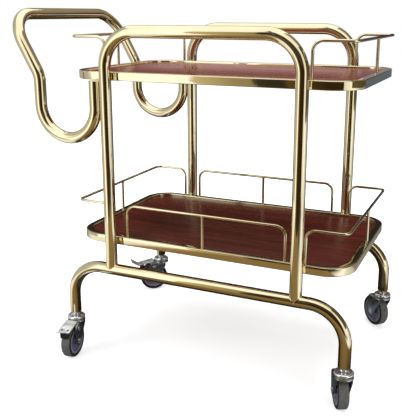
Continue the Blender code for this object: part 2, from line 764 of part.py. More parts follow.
def make_pedal(name, hinge, zinc):
    line = pedal_line()
    mesh = bmesh.new()
    prism(mesh, sheet_outline(line, PEDAL_SHEET), -PEDAL_HALF_WIDTH, PEDAL_HALF_WIDTH)
    pedal = solid(name, mesh, zinc, hinge)

    # Two ears, folded down from the tread inside the fork's legs
    rear = line[0][0]
    front = rear + EAR_LENGTH
    ear = arc((0, 0), PIVOT_BOSS_RADIUS, EAR_REAR_ANGLE, EAR_FRONT_ANGLE, TUBE_BEND_STEPS)
    sink = PEDAL_SHEET / 2
    ear += [(front, tread_height(front, line) + sink), (rear, tread_height(rear, line) + sink)]
    inner = PEDAL_HALF_WIDTH - PEDAL_EAR_THICKNESS
    mesh = bmesh.new()
    prism(mesh, ear, inner, PEDAL_HALF_WIDTH)
    prism(mesh, ear, -PEDAL_HALF_WIDTH, -inner)
    combine(pedal, "ears", mesh, "UNION")

    mesh = bmesh.new()
    bore = bore_radius(RIVET_DIAMETER / 2, PIN_SIDES)
    across = PEDAL_HALF_WIDTH + OVERRUN
    turn(mesh, [(bore, 0), (bore, 2 * across)], PIN_SIDES, facing(Vector((0, 1, 0)), Vector((0, -across, 0))))
    combine(pedal, "rivet_holes", mesh, "DIFFERENCE")

    # Slots that hold the shoe's tabs
    mesh = bmesh.new()
    along, across_places = shoe_tab_places()
    for across in across_places:
        box_prism(mesh, along, across, SHOE_TAB_LENGTH + 2 * SEAT_GAP, SHOE_TAB_WIDTH + 2 * SEAT_GAP,
                  tread_height(along, line) - OVERRUN, tread_height(along, line) + PEDAL_SHEET + OVERRUN)
    combine(pedal, "slots", mesh, "DIFFERENCE")


def make_shoe(name, hinge, rubber):
    """A toothed block under the tread that the pedal presses on the tyre."""
    line = pedal_line()
    axle = (0, WHEEL_RADIUS - PIVOT_HEIGHT)
    tips = WHEEL_RADIUS + SHOE_CLEARANCE
    roots = tips + SHOE_TOOTH_DEPTH
    step = (SHOE_HIGH_ANGLE - SHOE_LOW_ANGLE) / (2 * SHOE_TEETH)
    teeth = []
    for index in range(2 * SHOE_TEETH + 1):
        radius = roots if index % 2 else tips
        angle = SHOE_LOW_ANGLE + index * step
        teeth.append((axle[0] + radius * math.cos(angle), axle[1] + radius * math.sin(angle)))
    high_x = teeth[-1][0]
    low_x = teeth[0][0] + SHOE_TOOTH_DEPTH
    outline = teeth + [
        (high_x, tread_height(high_x, line) - SEAT_GAP),
        (low_x, tread_height(low_x, line) - SEAT_GAP),
    ]
    half_width = SHOE_WIDTH / 2
    mesh = bmesh.new()
    prism(mesh, outline, -half_width, half_width)
    shoe = solid(name, mesh, rubber, hinge)

    mesh = bmesh.new()
    along, across_places = shoe_tab_places()
    tread = tread_height(along, line)
    for across in across_places:
        low = tread - SHOE_TAB_WIDTH
        box_prism(mesh, along, across, SHOE_TAB_LENGTH, SHOE_TAB_WIDTH, low, tread + PEDAL_SHEET)
    combine(shoe, "tabs", mesh, "UNION")


def make_rivet(name, side, parent, zinc):
    """A rivet through one leg and the pedal's ear behind it."""
    shank = RIVET_DIAMETER / 2
    head = RIVET_HEAD_DIAMETER / 2
    seat = FORK_WIDTH / 2 + SEAT_GAP
    tail = PEDAL_HALF_WIDTH - PEDAL_EAR_THICKNESS - SEAT_GAP
    profile = [
        (shank, tail),
        (shank, seat),
        (head, seat),
        (shank, seat + RIVET_HEAD_THICKNESS),
    ]
    mesh = bmesh.new()
    turn(mesh, profile, PIN_SIDES, facing(Vector((0, side, 0)), Vector((CASTER_TRAIL, 0, PIVOT_HEIGHT))))
    solid(name, mesh, zinc, parent)


def make_caster(name, side, trail_angle, brake, cart, looks):
    side_x, side_y = side
    foot = (side_x * FOOT_SPACING / 2, side_y * FRAME_PLANE, 0)
    fixed = anchor(name + "_stem_axis", cart, foot)
    make_stem_socket(name + "_stem_socket", fixed, looks["plastic"])
    make_stem(name + "_caster_stem", fixed, looks["zinc"])

    swivel = anchor(name + "_swivel_axis", cart, foot, trail_angle)
    make_ball_cage(name + "_ball_cage", swivel, looks["zinc"])
    make_fork(name + "_fork", brake, swivel, looks["steel"])
    make_axle(name + "_axle", swivel, looks["zinc"])

    wheel = anchor(name + "_wheel_axis", swivel, (CASTER_TRAIL, 0, WHEEL_RADIUS))
    make_hub(name + "_hub", wheel, looks["hub"])
    make_tyre(name + "_tyre", wheel, looks["rubber"])

    if brake:
        make_rivet(name + "_pedal_rivet_a", 1, swivel, looks["zinc"])
        make_rivet(name + "_pedal_rivet_b", -1, swivel, looks["zinc"])
        hinge = anchor(name + "_pedal_axis", swivel, (CASTER_TRAIL, 0, PIVOT_HEIGHT))
        make_pedal(name + "_brake_pedal", hinge, looks["zinc"])
        make_shoe(name + "_brake_shoe", hinge, looks["brake"])


# The whole cart

def clear_scene():
    for item in list(bpy.data.objects):
        bpy.data.objects.remove(item)


def centre_on_floor(cart):
    """Moves the cart so that the origin is at the bottom centre of its box."""
    bpy.context.view_layer.update()
    graph = bpy.context.evaluated_depsgraph_get()
    corners = []
    for piece in bpy.context.scene.objects:
        if piece.type == "MESH" and not piece.hide_render:
            evaluated = piece.evaluated_get(graph)
            corners += [evaluated.matrix_world @ vertex.co for vertex in evaluated.data.vertices]
    low = [min(corner[axis] for corner in corners) for axis in range(3)]
    high = [max(corner[axis] for corner in corners) for axis in range(3)]
    cart.location = (-(low[0] + high[0]) / 2, -(low[1] + high[1]) / 2, -low[2])


def make_cart():
    cart = anchor("bar_cart")
    gold = finish("gold_plated_steel", (0.83, 0.70, 0.44), 0.14, 1.0)
    wood = finish("mahogany_board", (0.11, 0.028, 0.022), 0.22, 0.0)
    looks = {
        "zinc": finish("zinc_plated_steel", (0.72, 0.73, 0.74), 0.24, 1.0),
        "steel": finish("zinc_plated_pressing", (0.42, 0.44, 0.46), 0.30, 1.0),
        "hub": finish("hub_plastic", (0.12, 0.11, 0.15), 0.45, 0.0),
        "rubber": finish("tyre_rubber", (0.11, 0.105, 0.09), 0.65, 0.0),
        "brake": finish("brake_rubber", (0.02, 0.02, 0.02), 0.6, 0.0),
        "plastic": finish("socket_plastic", (0.03, 0.03, 0.03), 0.5, 0.0),
    }

    for place, side_y in (("front", -1), ("rear", 1)):
        make_hoop("hoop_" + place, side_y, cart, gold)
        make_base_arch("base_arch_" + place, side_y, cart, gold)
    make_push_handle(cart, gold)

    shelves = {"upper": (UPPER_RIM_HEIGHT, ("ends",)), "lower": (LOWER_RIM_HEIGHT, ("ends", "sides"))}
    for shelf, (rim_top, rails) in shelves.items():
        make_rim(shelf + "_shelf_rim", rim_top, rails, cart, gold)
        make_board(shelf + "_shelf_board", rim_top, cart, wood)
        make_end_rail(shelf + "_left_end_rail", -1, rim_top, cart, gold)
        make_end_rail(shelf + "_right_end_rail", 1, rim_top, cart, gold)
    make_side_rail("lower_front_side_rail", -1, LOWER_RIM_HEIGHT, cart, gold)
    make_side_rail("lower_rear_side_rail", 1, LOWER_RIM_HEIGHT, cart, gold)

    bolt_names = ("upper_left", "upper_right", "lower_left", "lower_right")
    for side, side_y in (("front", -1), ("rear", 1)):
        for bolt, place in zip(bolt_names, upright_bolt_places(side_y)):
            make_shelf_bolt(bolt + "_" + side + "_bolt", place, side_y, cart, looks["zinc"])

    for name, caster in CASTERS.items():
        make_caster(name, caster["side"], caster["trail_angle"], caster["brake"], cart, looks)
    centre_on_floor(cart)


clear_scene()
make_cart()
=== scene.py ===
"""Looks of the bar cart: polished gold tube, mahogany boards, wire rails and swivel casters in a plain studio.

Places are in metres in the part's frame: +Z up, the floor at z = 0, the push handle at -X, the front at -Y.
"""
import json
from math import atan2, cos, hypot, pi, radians, sin, sqrt, tan, tau

import bmesh
import bpy
from mathutils import Matrix, Vector


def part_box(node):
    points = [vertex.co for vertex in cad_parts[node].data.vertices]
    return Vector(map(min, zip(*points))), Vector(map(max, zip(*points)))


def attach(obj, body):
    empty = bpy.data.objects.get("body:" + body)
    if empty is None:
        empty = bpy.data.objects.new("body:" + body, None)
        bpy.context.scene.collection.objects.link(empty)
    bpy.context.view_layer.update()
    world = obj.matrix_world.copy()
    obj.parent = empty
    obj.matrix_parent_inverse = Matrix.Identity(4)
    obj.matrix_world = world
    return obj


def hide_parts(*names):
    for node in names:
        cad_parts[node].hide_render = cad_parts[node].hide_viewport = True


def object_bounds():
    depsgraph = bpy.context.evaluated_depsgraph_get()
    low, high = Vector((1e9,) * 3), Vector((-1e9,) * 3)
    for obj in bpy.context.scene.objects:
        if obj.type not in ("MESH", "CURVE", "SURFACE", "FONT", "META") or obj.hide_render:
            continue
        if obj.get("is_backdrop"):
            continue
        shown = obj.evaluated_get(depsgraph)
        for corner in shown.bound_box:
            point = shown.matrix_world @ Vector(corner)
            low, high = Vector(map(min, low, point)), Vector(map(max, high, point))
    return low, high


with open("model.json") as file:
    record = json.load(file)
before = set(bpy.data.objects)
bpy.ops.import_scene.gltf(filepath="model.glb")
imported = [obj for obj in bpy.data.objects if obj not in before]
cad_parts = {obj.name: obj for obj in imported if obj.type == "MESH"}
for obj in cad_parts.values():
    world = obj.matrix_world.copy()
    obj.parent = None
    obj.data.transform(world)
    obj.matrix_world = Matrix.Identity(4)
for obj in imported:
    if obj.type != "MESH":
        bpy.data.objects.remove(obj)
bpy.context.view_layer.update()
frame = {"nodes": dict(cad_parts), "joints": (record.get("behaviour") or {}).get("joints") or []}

# Clearances
SEAT_GAP = 0.0003
OVERRUN = 0.004
SAME_POINT = 0.00002

# Tube frame
TUBE_RADIUS = 0.0125
TUBE_WALL = 0.0012
TUBE_END_ROUNDING = 0.0006
UPRIGHT_PLACE = 0.207
FRAME_PLANE = 0.2025
HOOP_HEIGHT = 0.7204
HOOP_BEND_RADIUS = 0.072
ARCH_HEIGHT = 0.216
ARCH_BEND_RADIUS = 0.073
FOOT_PLACE = 0.3075
FOOT_BORE_DEPTH = 0.034
WELD_RISE = 0.0010
WELD_SPREAD = 0.0007

# Push handle
LOOP_RADIUS = 0.069
LOOP_HEIGHT = 0.567
LEAN_START_HEIGHT = 0.6267
LEAN_BEND_RADIUS = 0.050
LEAN_ANGLE = radians(29.6)
GRIP_HEIGHT = 0.754
GRIP_BEND_RADIUS = 0.070

# Shelves
SHELF_HALF_LENGTH = 0.307
SHELF_HALF_WIDTH = FRAME_PLANE - TUBE_RADIUS - SEAT_GAP
RIM_TOPS = {"upper": 0.639, "lower": 0.2864}
RIM_DEPTH = 0.0176
RIM_WIDTH = 0.015
RIM_CORNER_RADIUS = 0.060
RIM_EDGE_RADIUS = 0.0018
LEDGE_WIDTH = 0.007
LEDGE_THICKNESS = 0.0033
BOARD_THICKNESS = 0.010
BOARD_EDGE_RADIUS = 0.0008

# Guard rails
RAIL_RADIUS = 0.003
RAIL_RISE = 0.070
RAIL_BEND_RADIUS = 0.020
RAIL_PLAN_RADIUS = 0.015
RAIL_SEAT_DEPTH = 0.008
SIDE_RAIL_HALF_LENGTH = 0.177
END_RAIL_LEG_PLACE = 0.218
RAIL_LINE = SHELF_HALF_WIDTH - RIM_WIDTH / 2
RAIL_END_LINE = SHELF_HALF_LENGTH - RIM_WIDTH / 2
WIRE_END_ROUNDING = RAIL_RADIUS / 6

# The flare of a rail's post at its weld, in shares of the wire's radius
FLARE_SHARE = 1.18
FLARE_START_SHARE = 1.5
FLARE_END_SHARE = 0.8

# Caster stem and swivel
NECK_RADIUS = 0.008
NECK_LENGTH = 0.0081
NECK_FLARE = 0.0012
RACE_RADIUS = 0.020
RACE_THICKNESS = 0.0052
RACE_ROUNDING = 0.0042
RACE_EDGE = 0.0007
RACE_EDGE_START = radians(-60)
RACE_CAP_START = radians(5)
CAGE_RADIUS = 0.018
CAGE_BORE_RADIUS = 0.009
CAGE_THICKNESS = 0.002
BALL_RADIUS = 0.0009
BALL_CIRCLE_RADIUS = 0.0172
CROWN_RING_RADIUS = 0.0195
CROWN_RING_THICKNESS = 0.0034
KING_PIN_RADIUS = 0.004
PIN_HEAD_RADIUS = 0.007
PIN_HEAD_THICKNESS = 0.0022
PIN_HEAD_ROUNDING = 0.001
STEM_RADIUS = 0.0055
STEM_LENGTH = 0.029
STEM_TAPER = 0.0015
SOCKET_RADIUS = 0.011

# Fork, axle and wheel
CASTER_TRAIL = 0.022
FORK_WIDTH = 0.033
FORK_SHEET = 0.0022
FORK_BEND_RADIUS = 0.003
FORK_EDGE_ROUNDING = 0.0004
FORK_TAIL = 0.010
HOOD_REACH = 0.030
SHOULDER_REACH = 0.037
SHOULDER_DROP = 0.0095
BOSS_RADIUS = 0.0105
BOSS_FRONT_ANGLE = radians(10)
BOSS_REAR_ANGLE = radians(-160)
AXLE_RADIUS = 0.003
AXLE_HEAD_RADIUS = 0.006
AXLE_HEAD_THICKNESS = 0.0018
WHEEL_RADIUS = 0.0375
TYRE_WIDTH = 0.022
TYRE_THICKNESS = 0.008
TYRE_SHOULDER = 0.004
TYRE_CLEARANCE = 0.002
HUB_BARREL_RADIUS = 0.008
HUB_WEB_THICKNESS = 0.008
HUB_RIM_THICKNESS = 0.004
HUB_RIM_INSET = 0.0008
HUB_SLOPE = 0.002

# Brake
PEDAL_SHEET = 0.0016
PEDAL_EAR_THICKNESS = 0.0014
PEDAL_EDGE_ROUNDING = 0.0003
PEDAL_START = 0.023
PEDAL_LENGTH = 0.042
PEDAL_FALL = 0.0095
LIP_LENGTH = 0.0185
LIP_RISE = 0.0118
LIP_BEND_RADIUS = 0.004
PEDAL_GROOVES = 3
PEDAL_GROOVE_START = 0.0035
PEDAL_GROOVE_PITCH = 0.0030
PEDAL_GROOVE_WIDTH = 0.0014
PEDAL_GROOVE_DEPTH = 0.0007
PIVOT_RISE = 0.030
PIVOT_BOSS_RADIUS = 0.0045
PIVOT_REAR_ANGLE = radians(-170)
PIVOT_FRONT_ANGLE = radians(20)
EAR_LENGTH = 0.014
RIVET_RADIUS = 0.0022
RIVET_HEAD_RADIUS = 0.0045
RIVET_HEAD_THICKNESS = 0.0018
SHOE_WIDTH = 0.020
SHOE_CLEARANCE = 0.0045
SHOE_TOOTH_DEPTH = 0.0015
SHOE_TAB_WIDTH = 0.003
SHOE_TAB_LENGTH = 0.005
SHOE_TAB_SPACING = 0.0135
SHOE_LOW_ANGLE = radians(28.0)
SHOE_HIGH_ANGLE = radians(48.0)
SHOE_TEETH = 5
SHOE_EDGE_ROUNDING = 0.0002

# Counts
TUBE_SIDES = 48
TUBE_BEND_STEPS = 24
WIRE_SIDES = 20
WIRE_BEND_STEPS = 12
LEAST_BEND_STEPS = 4
RIM_CORNER_STEPS = 20
ROUND_STEPS = 4
TURNED_SIDES = 64
BALL_COUNT = 20
RACE_EDGE_STEPS = 3
RACE_CAP_STEPS = 10
CROWN_EDGE_STEPS = 6
FORK_BEND_STEPS = 6
BOSS_STEPS = 20
SHOULDER_STEPS = 8
HEAD_STEPS = 7
LIP_BEND_STEPS = 16
PIVOT_STEPS = 16
BEVEL_STEPS = 2

# Angles
QUARTER_TURN = pi / 2
BEVEL_ANGLE = radians(40)
SMOOTH_ANGLE = radians(32)

# Materials
WHEEL_MAP = "distance_from_axle"
NOISE_LOW = 0.3
NOISE_HIGH = 0.7
ZINC_TONES = ((0.86, 0.88, 0.89), (0.93, 0.94, 0.95))
FORK_TONES = ((0.38, 0.42, 0.46), (0.52, 0.56, 0.61))
BRAKE_TONES = ((0.008, 0.008, 0.009), (0.018, 0.018, 0.019))
SOCKET_TONES = ((0.018, 0.018, 0.019), (0.03, 0.03, 0.031))
MOULDING_PATCHES = (70.0, 4.0, 0.6)
MOULDING_SPECULAR = 0.4
WHEEL_SHADES = (0.72, 1.28)

# Heights of the swivel's layers
TYRE_SEAT_RADIUS = WHEEL_RADIUS - TYRE_THICKNESS
CROWN_UNDERSIDE = 2 * WHEEL_RADIUS + TYRE_CLEARANCE
CROWN_TOP = CROWN_UNDERSIDE + FORK_SHEET
CAGE_UNDERSIDE = CROWN_TOP + CROWN_RING_THICKNESS + SEAT_GAP
RACE_UNDERSIDE = CAGE_UNDERSIDE + CAGE_THICKNESS + SEAT_GAP
RACE_TOP = RACE_UNDERSIDE + RACE_THICKNESS
FOOT_END_HEIGHT = RACE_TOP + NECK_LENGTH + SEAT_GAP
PIVOT_HEIGHT = WHEEL_RADIUS + PIVOT_RISE
FORK_INSIDE = FORK_WIDTH / 2 - FORK_SHEET
PEDAL_HALF_WIDTH = FORK_INSIDE - SEAT_GAP

# The photograph's frame and camera, whose place is from the middle of the shelves
IMAGE_HEIGHT = 417
SENSOR = 36
FOCAL_PIXELS = 669.73
SHIFT_PIXELS = (-13.4, -30.5)
CAMERA_PLACE = Vector((0.5495, -1.3613, 0.755))
CAMERA_AZIMUTH = -0.418
CAMERA_DIP = 0.241
CAMERA_ROLL = -0.001

# Studio
WORLD_FILL = 0.24
FLOOR_REACH = 6.0
FLOOR_GLOW = 0.6
GLOW_START = 0.6
GLOW_END = 1.5
LAMP_TARGET = Vector((0, 0, 0.35))
PANEL_LEVEL = 2.0
ROOM_HEIGHT = 2.0
CARD_HEIGHT = 0.001
CASTER_CARD_HEIGHT = 0.002
CASTER_CARD_REACH = 0.14

board_low, board_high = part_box("upper_shelf_board")
CENTRE = Vector(((board_low.x + board_high.x) / 2, (board_low.y + board_high.y) / 2, 0))


# Shapes

def circle(radius, sides):
    """Points (a, b) round a circle."""
    angles = [tau * index / sides for index in range(sides)]
    return [(radius * cos(angle), radius * sin(angle)) for angle in angles]


def arc(centre, radius, start, end, steps):
    """Points (a, b) along an arc."""
    angles = [start + (end - start) * step / steps for step in range(steps + 1)]
    return [(centre[0] + radius * cos(angle), centre[1] + radius * sin(angle)) for angle in angles]


def loft(mesh, rings, closed=False):
    """Joins rings of points in order, end to start if closed and else with a flat face at each end."""
    loops = [[mesh.verts.new(point) for point in ring] for ring in rings]
    followers = loops[1:] + loops[:1] if closed else loops[1:]
    for loop, follower in zip(loops, followers):
        for index in range(len(loop)):
            after = (index + 1) % len(loop)
            mesh.faces.new((loop[index], loop[after], follower[after], follower[index]))
    if not closed:
        mesh.faces.new(loops[0])
        mesh.faces.new(loops[-1])


def turned(profile, place=Matrix(), closed=False, sides=TURNED_SIDES):
    """A mesh turned round the local Z axis from a profile of (radius, height) pairs."""
    rings = []
    for radius, height in profile:
        rings.append([place @ Vector((x, y, height)) for x, y in circle(radius, sides)])
    mesh = bmesh.new()
    loft(mesh, rings, closed)
    return mesh


def facing(direction, origin):
    """Places a turned shape at an origin with its axis along a direction."""
    tilt = Vector((0, 0, 1)).rotation_difference(Vector(direction))
    return Matrix.Translation(origin) @ tilt.to_matrix().to_4x4()


def centred(points):
    """Points that were given from the middle of the shelves."""
    return [Vector(point) + CENTRE for point in points]


def prism(mesh, outline, low, high):
    """Extrudes an outline in the X-Z plane along Y, from low to high."""
    loft(mesh, [[(x, y, z) for x, z in outline] for y in (low, high)])


def box_prism(mesh, x, y, length, width, low, high):
    """A block round a place in plan."""
    outline = [(x - length / 2, low), (x + length / 2, low), (x + length / 2, high), (x - length / 2, high)]
    prism(mesh, outline, y - width / 2, y + width / 2)


def rounded_path(corners, radii, quarter_steps):
    """A line through corners whose inner ones are rounded to the radii."""
    path = [corners[0]]
    for before, corner, after, radius in zip(corners, corners[1:], corners[2:], radii):
        back = (before - corner).normalized()
        onward = (after - corner).normalized()
        angle = pi - back.angle(onward)
        start = corner + back * radius * tan(angle / 2)
        centre = corner + (back + onward).normalized() * radius / cos(angle / 2)
        axis = onward.cross(back).normalized()
        steps = max(LEAST_BEND_STEPS, round(quarter_steps * angle / QUARTER_TURN))
        for step in range(steps + 1):
            path.append(centre + Matrix.Rotation(angle * step / steps, 3, axis) @ (start - centre))
    path.append(corners[-1])
    gaps = [(after - before).length for before, after in zip(path, path[1:])]
    return path[:1] + [point for point, gap in zip(path[1:], gaps) if gap > SAME_POINT]


def arch_path(half_length, y, low, high, radius, quarter_steps):
    """The line of an arch along X, from its left foot to its right one."""
    profile = [(-half_length, low), (-half_length, high), (half_length, high), (half_length, low)]
    return rounded_path(centred((x, y, z) for x, z in profile), [radius] * 2, quarter_steps)


def headings_along(path):
    """The direction of a line at each of its points."""
    runs = [(after - before).normalized() for before, after in zip(path, path[1:])]
    between = [(before + after).normalized() for before, after in zip(runs, runs[1:])]
    return runs[:1] + between + runs[-1:]


def tube_rings(path, radius, sides):
    """Rings of a round tube along a path that sets out straight up."""
    headings = headings_along(path)
    normal = Vector((0, 1, 0))
    rings = []
    for index, (point, heading) in enumerate(zip(path, headings)):
        if index:
            normal = headings[index - 1].rotation_difference(heading) @ normal
        sideways = heading.cross(normal)
        rings.append([point + a * normal + b * sideways for a, b in circle(radius, sides)])
    return rings, headings


def rounded_end(ring, centre, outward, radius, rounding):
    """Rings that round the edge of a tube's flat end, from the full section to the end."""
    rings = []
    for step in range(1, ROUND_STEPS + 1):
        angle = QUARTER_TURN * step / ROUND_STEPS
        share = 1 - rounding / radius * (1 - cos(angle))
        drop = outward * rounding * sin(angle)
        rings.append([centre + (point - centre) * share + drop for point in ring])
    return rings


def capped_tube(mesh, path, radius, sides, rounding):
    """A tube with a flat end at either side, its edges a little rounded."""
    rings, headings = tube_rings(path, radius, sides)
    start, end = path[0], path[-1]
    rings[0] = [point + headings[0] * rounding for point in rings[0]]
    rings[-1] = [point - headings[-1] * rounding for point in rings[-1]]
    first = rounded_end(rings[0], start + headings[0] * rounding, -headings[0], radius, rounding)
    last = rounded_end(rings[-1], end - headings[-1] * rounding, headings[-1], radius, rounding)
    loft(mesh, first[::-1] + rings + last)


def round_rectangle(half_length, half_width, radius, height):
    """The points of a rectangle with round corners, at a height."""
    points = []
    for quarter, (side_x, side_y) in enumerate(((1, 1), (-1, 1), (-1, -1), (1, -1))):
        centre = (side_x * (half_length - radius), side_y * (half_width - radius))
        start = QUARTER_TURN * quarter
        points += arc(centre, radius, start, start + QUARTER_TURN, RIM_CORNER_STEPS)
    return centred((x, y, height) for x, y in points)


def sheet_outline(line, thickness):
    """The outline of a sheet bent along a line in the X-Z plane, with the line as its upper face."""
    line = [Vector(point) for point in line]
    under = []
    for point, heading in zip(line, headings_along(line)):
        under.append(point + thickness * Vector((heading.y, -heading.x)))
    return [tuple(point) for point in line + under[::-1]]


# Pieces

def add_object(name, data):
    """Puts a new object in the scene."""
    item = bpy.data.objects.new(name, data)
    bpy.context.scene.collection.objects.link(item)
    return item


def add_mesh(name, mesh):
    """Puts a mesh that was made in bmesh in the scene."""
    data = bpy.data.meshes.new(name)
    mesh.to_mesh(data)
    mesh.free()
    return add_object(name, data)


def loose(mesh):
    """An object for a mesh that is still being shaped."""
    bmesh.ops.recalc_face_normals(mesh, faces=mesh.faces)
    return add_mesh("shaping", mesh)


def shaped(mesh, steps=(), bevel=0.0):
    """The mesh data after its Booleans, each (operation, helper mesh), and a bevel on its sharp edges."""
    shape = loose(mesh)
    helpers = []
    for operation, helper_mesh in steps:
        helper = loose(helper_mesh)
        helpers.append(helper)
        boolean = shape.modifiers.new(operation, "BOOLEAN")
        boolean.operation = operation
        boolean.solver = "EXACT"
        boolean.object = helper
    if bevel:
        rounding = shape.modifiers.new("edges", "BEVEL")
        rounding.width = bevel
        rounding.segments = BEVEL_STEPS
        rounding.limit_method = "ANGLE"
        rounding.angle_limit = BEVEL_ANGLE
    graph = bpy.context.evaluated_depsgraph_get()
    data = bpy.data.meshes.new_from_object(shape.evaluated_get(graph))
    for item in [shape] + helpers:
        spent = item.data
        bpy.data.objects.remove(item)
        bpy.data.meshes.remove(spent)
    return data


def map_wheel(data, axle):
    """Maps a wheel piece: how far it is from the axle, and along it, in wheel radii."""
    layer = data.uv_layers.new(name=WHEEL_MAP)
    for loop in data.loops:
        spot = data.vertices[loop.vertex_index].co - axle
        layer.data[loop.index].uv = (hypot(spot.x, spot.z) / WHEEL_RADIUS, abs(spot.y) / WHEEL_RADIUS)
    return data


def place_piece(node, data, look, body, place=Matrix()):
    """Puts a finished mesh in the scene in its node's stead."""
    data.transform(place)
    data.name = "fine_" + node
    data.materials.clear()
    data.materials.append(look)
    data.shade_smooth()
    data.set_sharp_from_angle(angle=SMOOTH_ANGLE)
    piece = add_object("fine_" + node, data)
    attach(piece, body)
    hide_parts(node)


# Materials

class Nodes:
    """Builds a material's or the world's node tree, keeping the calls short."""

    def __init__(self, tree):
        self.tree = tree
        tree.nodes.clear()

    def add(self, kind, settings=None, **inputs):
        """A new node with its settings, and its inputs by their names."""
        node = self.tree.nodes.new("ShaderNode" + kind)
        for name, value in (settings or {}).items():
            setattr(node, name, value)
        for name, value in inputs.items():
            self.put(node, name.replace("_", " "), value)
        return node

    def put(self, node, name, value):
        """Gives an input a link from another node, or a value of its own."""
        socket = node.inputs[name]
        if isinstance(value, bpy.types.NodeSocket):
            self.tree.links.new(value, socket)
        else:
            socket.default_value = value

    def ramp(self, fac, stops):
        """A colour from stops of (position, colour)."""
        node = self.add("ValToRGB", Fac=fac)
        elements = node.color_ramp.elements
        for index, (position, colour) in enumerate(stops):
            element = elements[index] if index < 2 else elements.new(position)
            element.position = position
            element.color = (*colour, 1)
        return node.outputs["Color"]

    def tones(self, noise, dark, light):
        """A colour that goes from dark to light over a noise's usual range."""
        return self.ramp(noise, [(NOISE_LOW, dark), (NOISE_HIGH, light)])

    def math(self, operation, first, second):
        node = self.add("Math", {"operation": operation})
        self.put(node, 0, first)
        self.put(node, 1, second)
        return node.outputs["Value"]

    def place(self, scale=(1, 1, 1)):
        """Object coordinates, stretched."""
        coordinates = self.add("TexCoord").outputs["Object"]
        return self.add("Mapping", Vector=coordinates, Scale=scale).outputs["Vector"]

    def noise(self, vector, scale, detail=3.0, roughness=0.5):
        node = self.add("TexNoise", Vector=vector, Scale=scale, Detail=detail, Roughness=roughness)
        return node.outputs["Fac"]

    def remap(self, value, low, high, from_low=NOISE_LOW, from_high=NOISE_HIGH):
        """A value brought to the range from low to high."""
        node = self.add("MapRange", Value=value, From_Min=from_low, From_Max=from_high, To_Min=low, To_Max=high)
        return node.outputs["Result"]

    def bump(self, height, distance, strength=1.0):
        return self.add("Bump", Height=height, Distance=distance, Strength=strength).outputs["Normal"]

    def mix(self, fac, first, second):
        """One shader or the other."""
        node = self.add("MixShader", Fac=fac)
        self.put(node, 1, first.outputs[0])
        self.put(node, 2, second.outputs[0])
        return node

    def surface(self, shader):
        self.tree.links.new(shader.outputs[0], self.add("OutputMaterial").inputs["Surface"])


def new_material(name):
    """A material and its empty node tree."""
    material = bpy.data.materials.new(name)
    material.use_nodes = True
    return material, Nodes(material.node_tree)


def principled(nodes, colour, roughness, metallic, normal, specular=0.5):
    """The one shader of a material of the cart."""
    nodes.surface(nodes.add("BsdfPrincipled", Base_Color=colour, Roughness=roughness, Metallic=metallic,
                            Normal=normal, Specular_IOR_Level=specular))


def make_gold():
    """Polished gold plate with faint cloudiness and buffing marks."""
    material, nodes = new_material("gold_plate")
    place = nodes.place()
    clouds = nodes.noise(place, scale=18.0)
    fine = nodes.noise(place, scale=240.0, detail=4.0, roughness=0.6)
    colour = nodes.tones(clouds, (0.81, 0.715, 0.47), (0.86, 0.77, 0.53))
    roughness = nodes.math("ADD", nodes.remap(clouds, 0.03, 0.055), nodes.remap(fine, 0.0, 0.025))
    normal = nodes.bump(nodes.noise(place, scale=60.0, detail=2.0), distance=0.00004)
    principled(nodes, colour, roughness, 1.0, normal)
    return material


def make_wood():
    """Gloss lacquered mahogany board with its grain along X."""
    material, nodes = new_material("mahogany")
    bands = nodes.noise(nodes.place((1.2, 14, 14)), scale=3.0, detail=4.0, roughness=0.55)
    pores = nodes.noise(nodes.place((14, 420, 420)), scale=2.0, detail=3.0, roughness=0.6)
    grain = nodes.math("ADD", nodes.math("MULTIPLY", bands, 0.94), nodes.math("MULTIPLY", pores, 0.06))
    colour = nodes.ramp(grain, [
        (0.30, (0.074, 0.0110, 0.0070)),
        (0.46, (0.104, 0.0165, 0.0098)),
        (0.60, (0.130, 0.0210, 0.0124)),
        (0.75, (0.158, 0.0265, 0.0155)),
    ])
    normal = nodes.bump(pores, distance=0.00004, strength=0.15)
    principled(nodes, colour, nodes.remap(bands, 0.20, 0.30), 0.0, normal, specular=0.19)
    return material


def make_mottled(name, patches, colours, roughness, metallic, grain, depth, specular=0.5):
    """A surface with patches of tone and a fine grain, each a noise of (scale, detail, roughness)."""
    material, nodes = new_material(name)
    place = nodes.place()
    tone = nodes.noise(place, *patches)
    normal = nodes.bump(nodes.noise(place, *grain), depth)
    principled(nodes, nodes.tones(tone, *colours), nodes.remap(tone, *roughness), metallic, normal, specular)
    return material


def make_wheel_look(name, stops, roughness, grain, depth):
    """A mottled moulding whose colour changes with the distance from the axle, in wheel radii. On the hub this
    paints shade into its recess.
    """
    material, nodes = new_material(name)
    place = nodes.place()
    patches = nodes.noise(place, scale=110.0, detail=4.0, roughness=0.6)
    spot = nodes.add("SeparateXYZ", Vector=nodes.add("UVMap", {"uv_map": WHEEL_MAP}).outputs["UV"])
    shade = nodes.add("VectorMath", {"operation": "SCALE"}, Scale=nodes.remap(patches, *WHEEL_SHADES))
    nodes.put(shade, 0, nodes.ramp(spot.outputs["X"], stops))
    normal = nodes.bump(nodes.noise(place, grain, detail=2.0), depth)
    finish = nodes.remap(patches, *roughness)
    principled(nodes, shade.outputs["Vector"], finish, 0.0, normal, MOULDING_SPECULAR)
    return material


gold = make_gold()
wood = make_wood()

# Bright zinc plate with a fine satin, on the turned parts
zinc = make_mottled("zinc_plate", patches=(120.0, 3.0), colours=ZINC_TONES, roughness=(0.08, 0.15),
                    metallic=0.88, grain=(900.0, 2.0), depth=0.00003)

# Pale zinc plate with a soft sheen, on the stamped pedals
pedal_zinc = make_mottled("pedal_zinc", patches=(150.0, 4.0, 0.6), colours=ZINC_TONES, roughness=(0.28, 0.38),
                          metallic=0.85, grain=(700.0, 3.0), depth=0.00005)

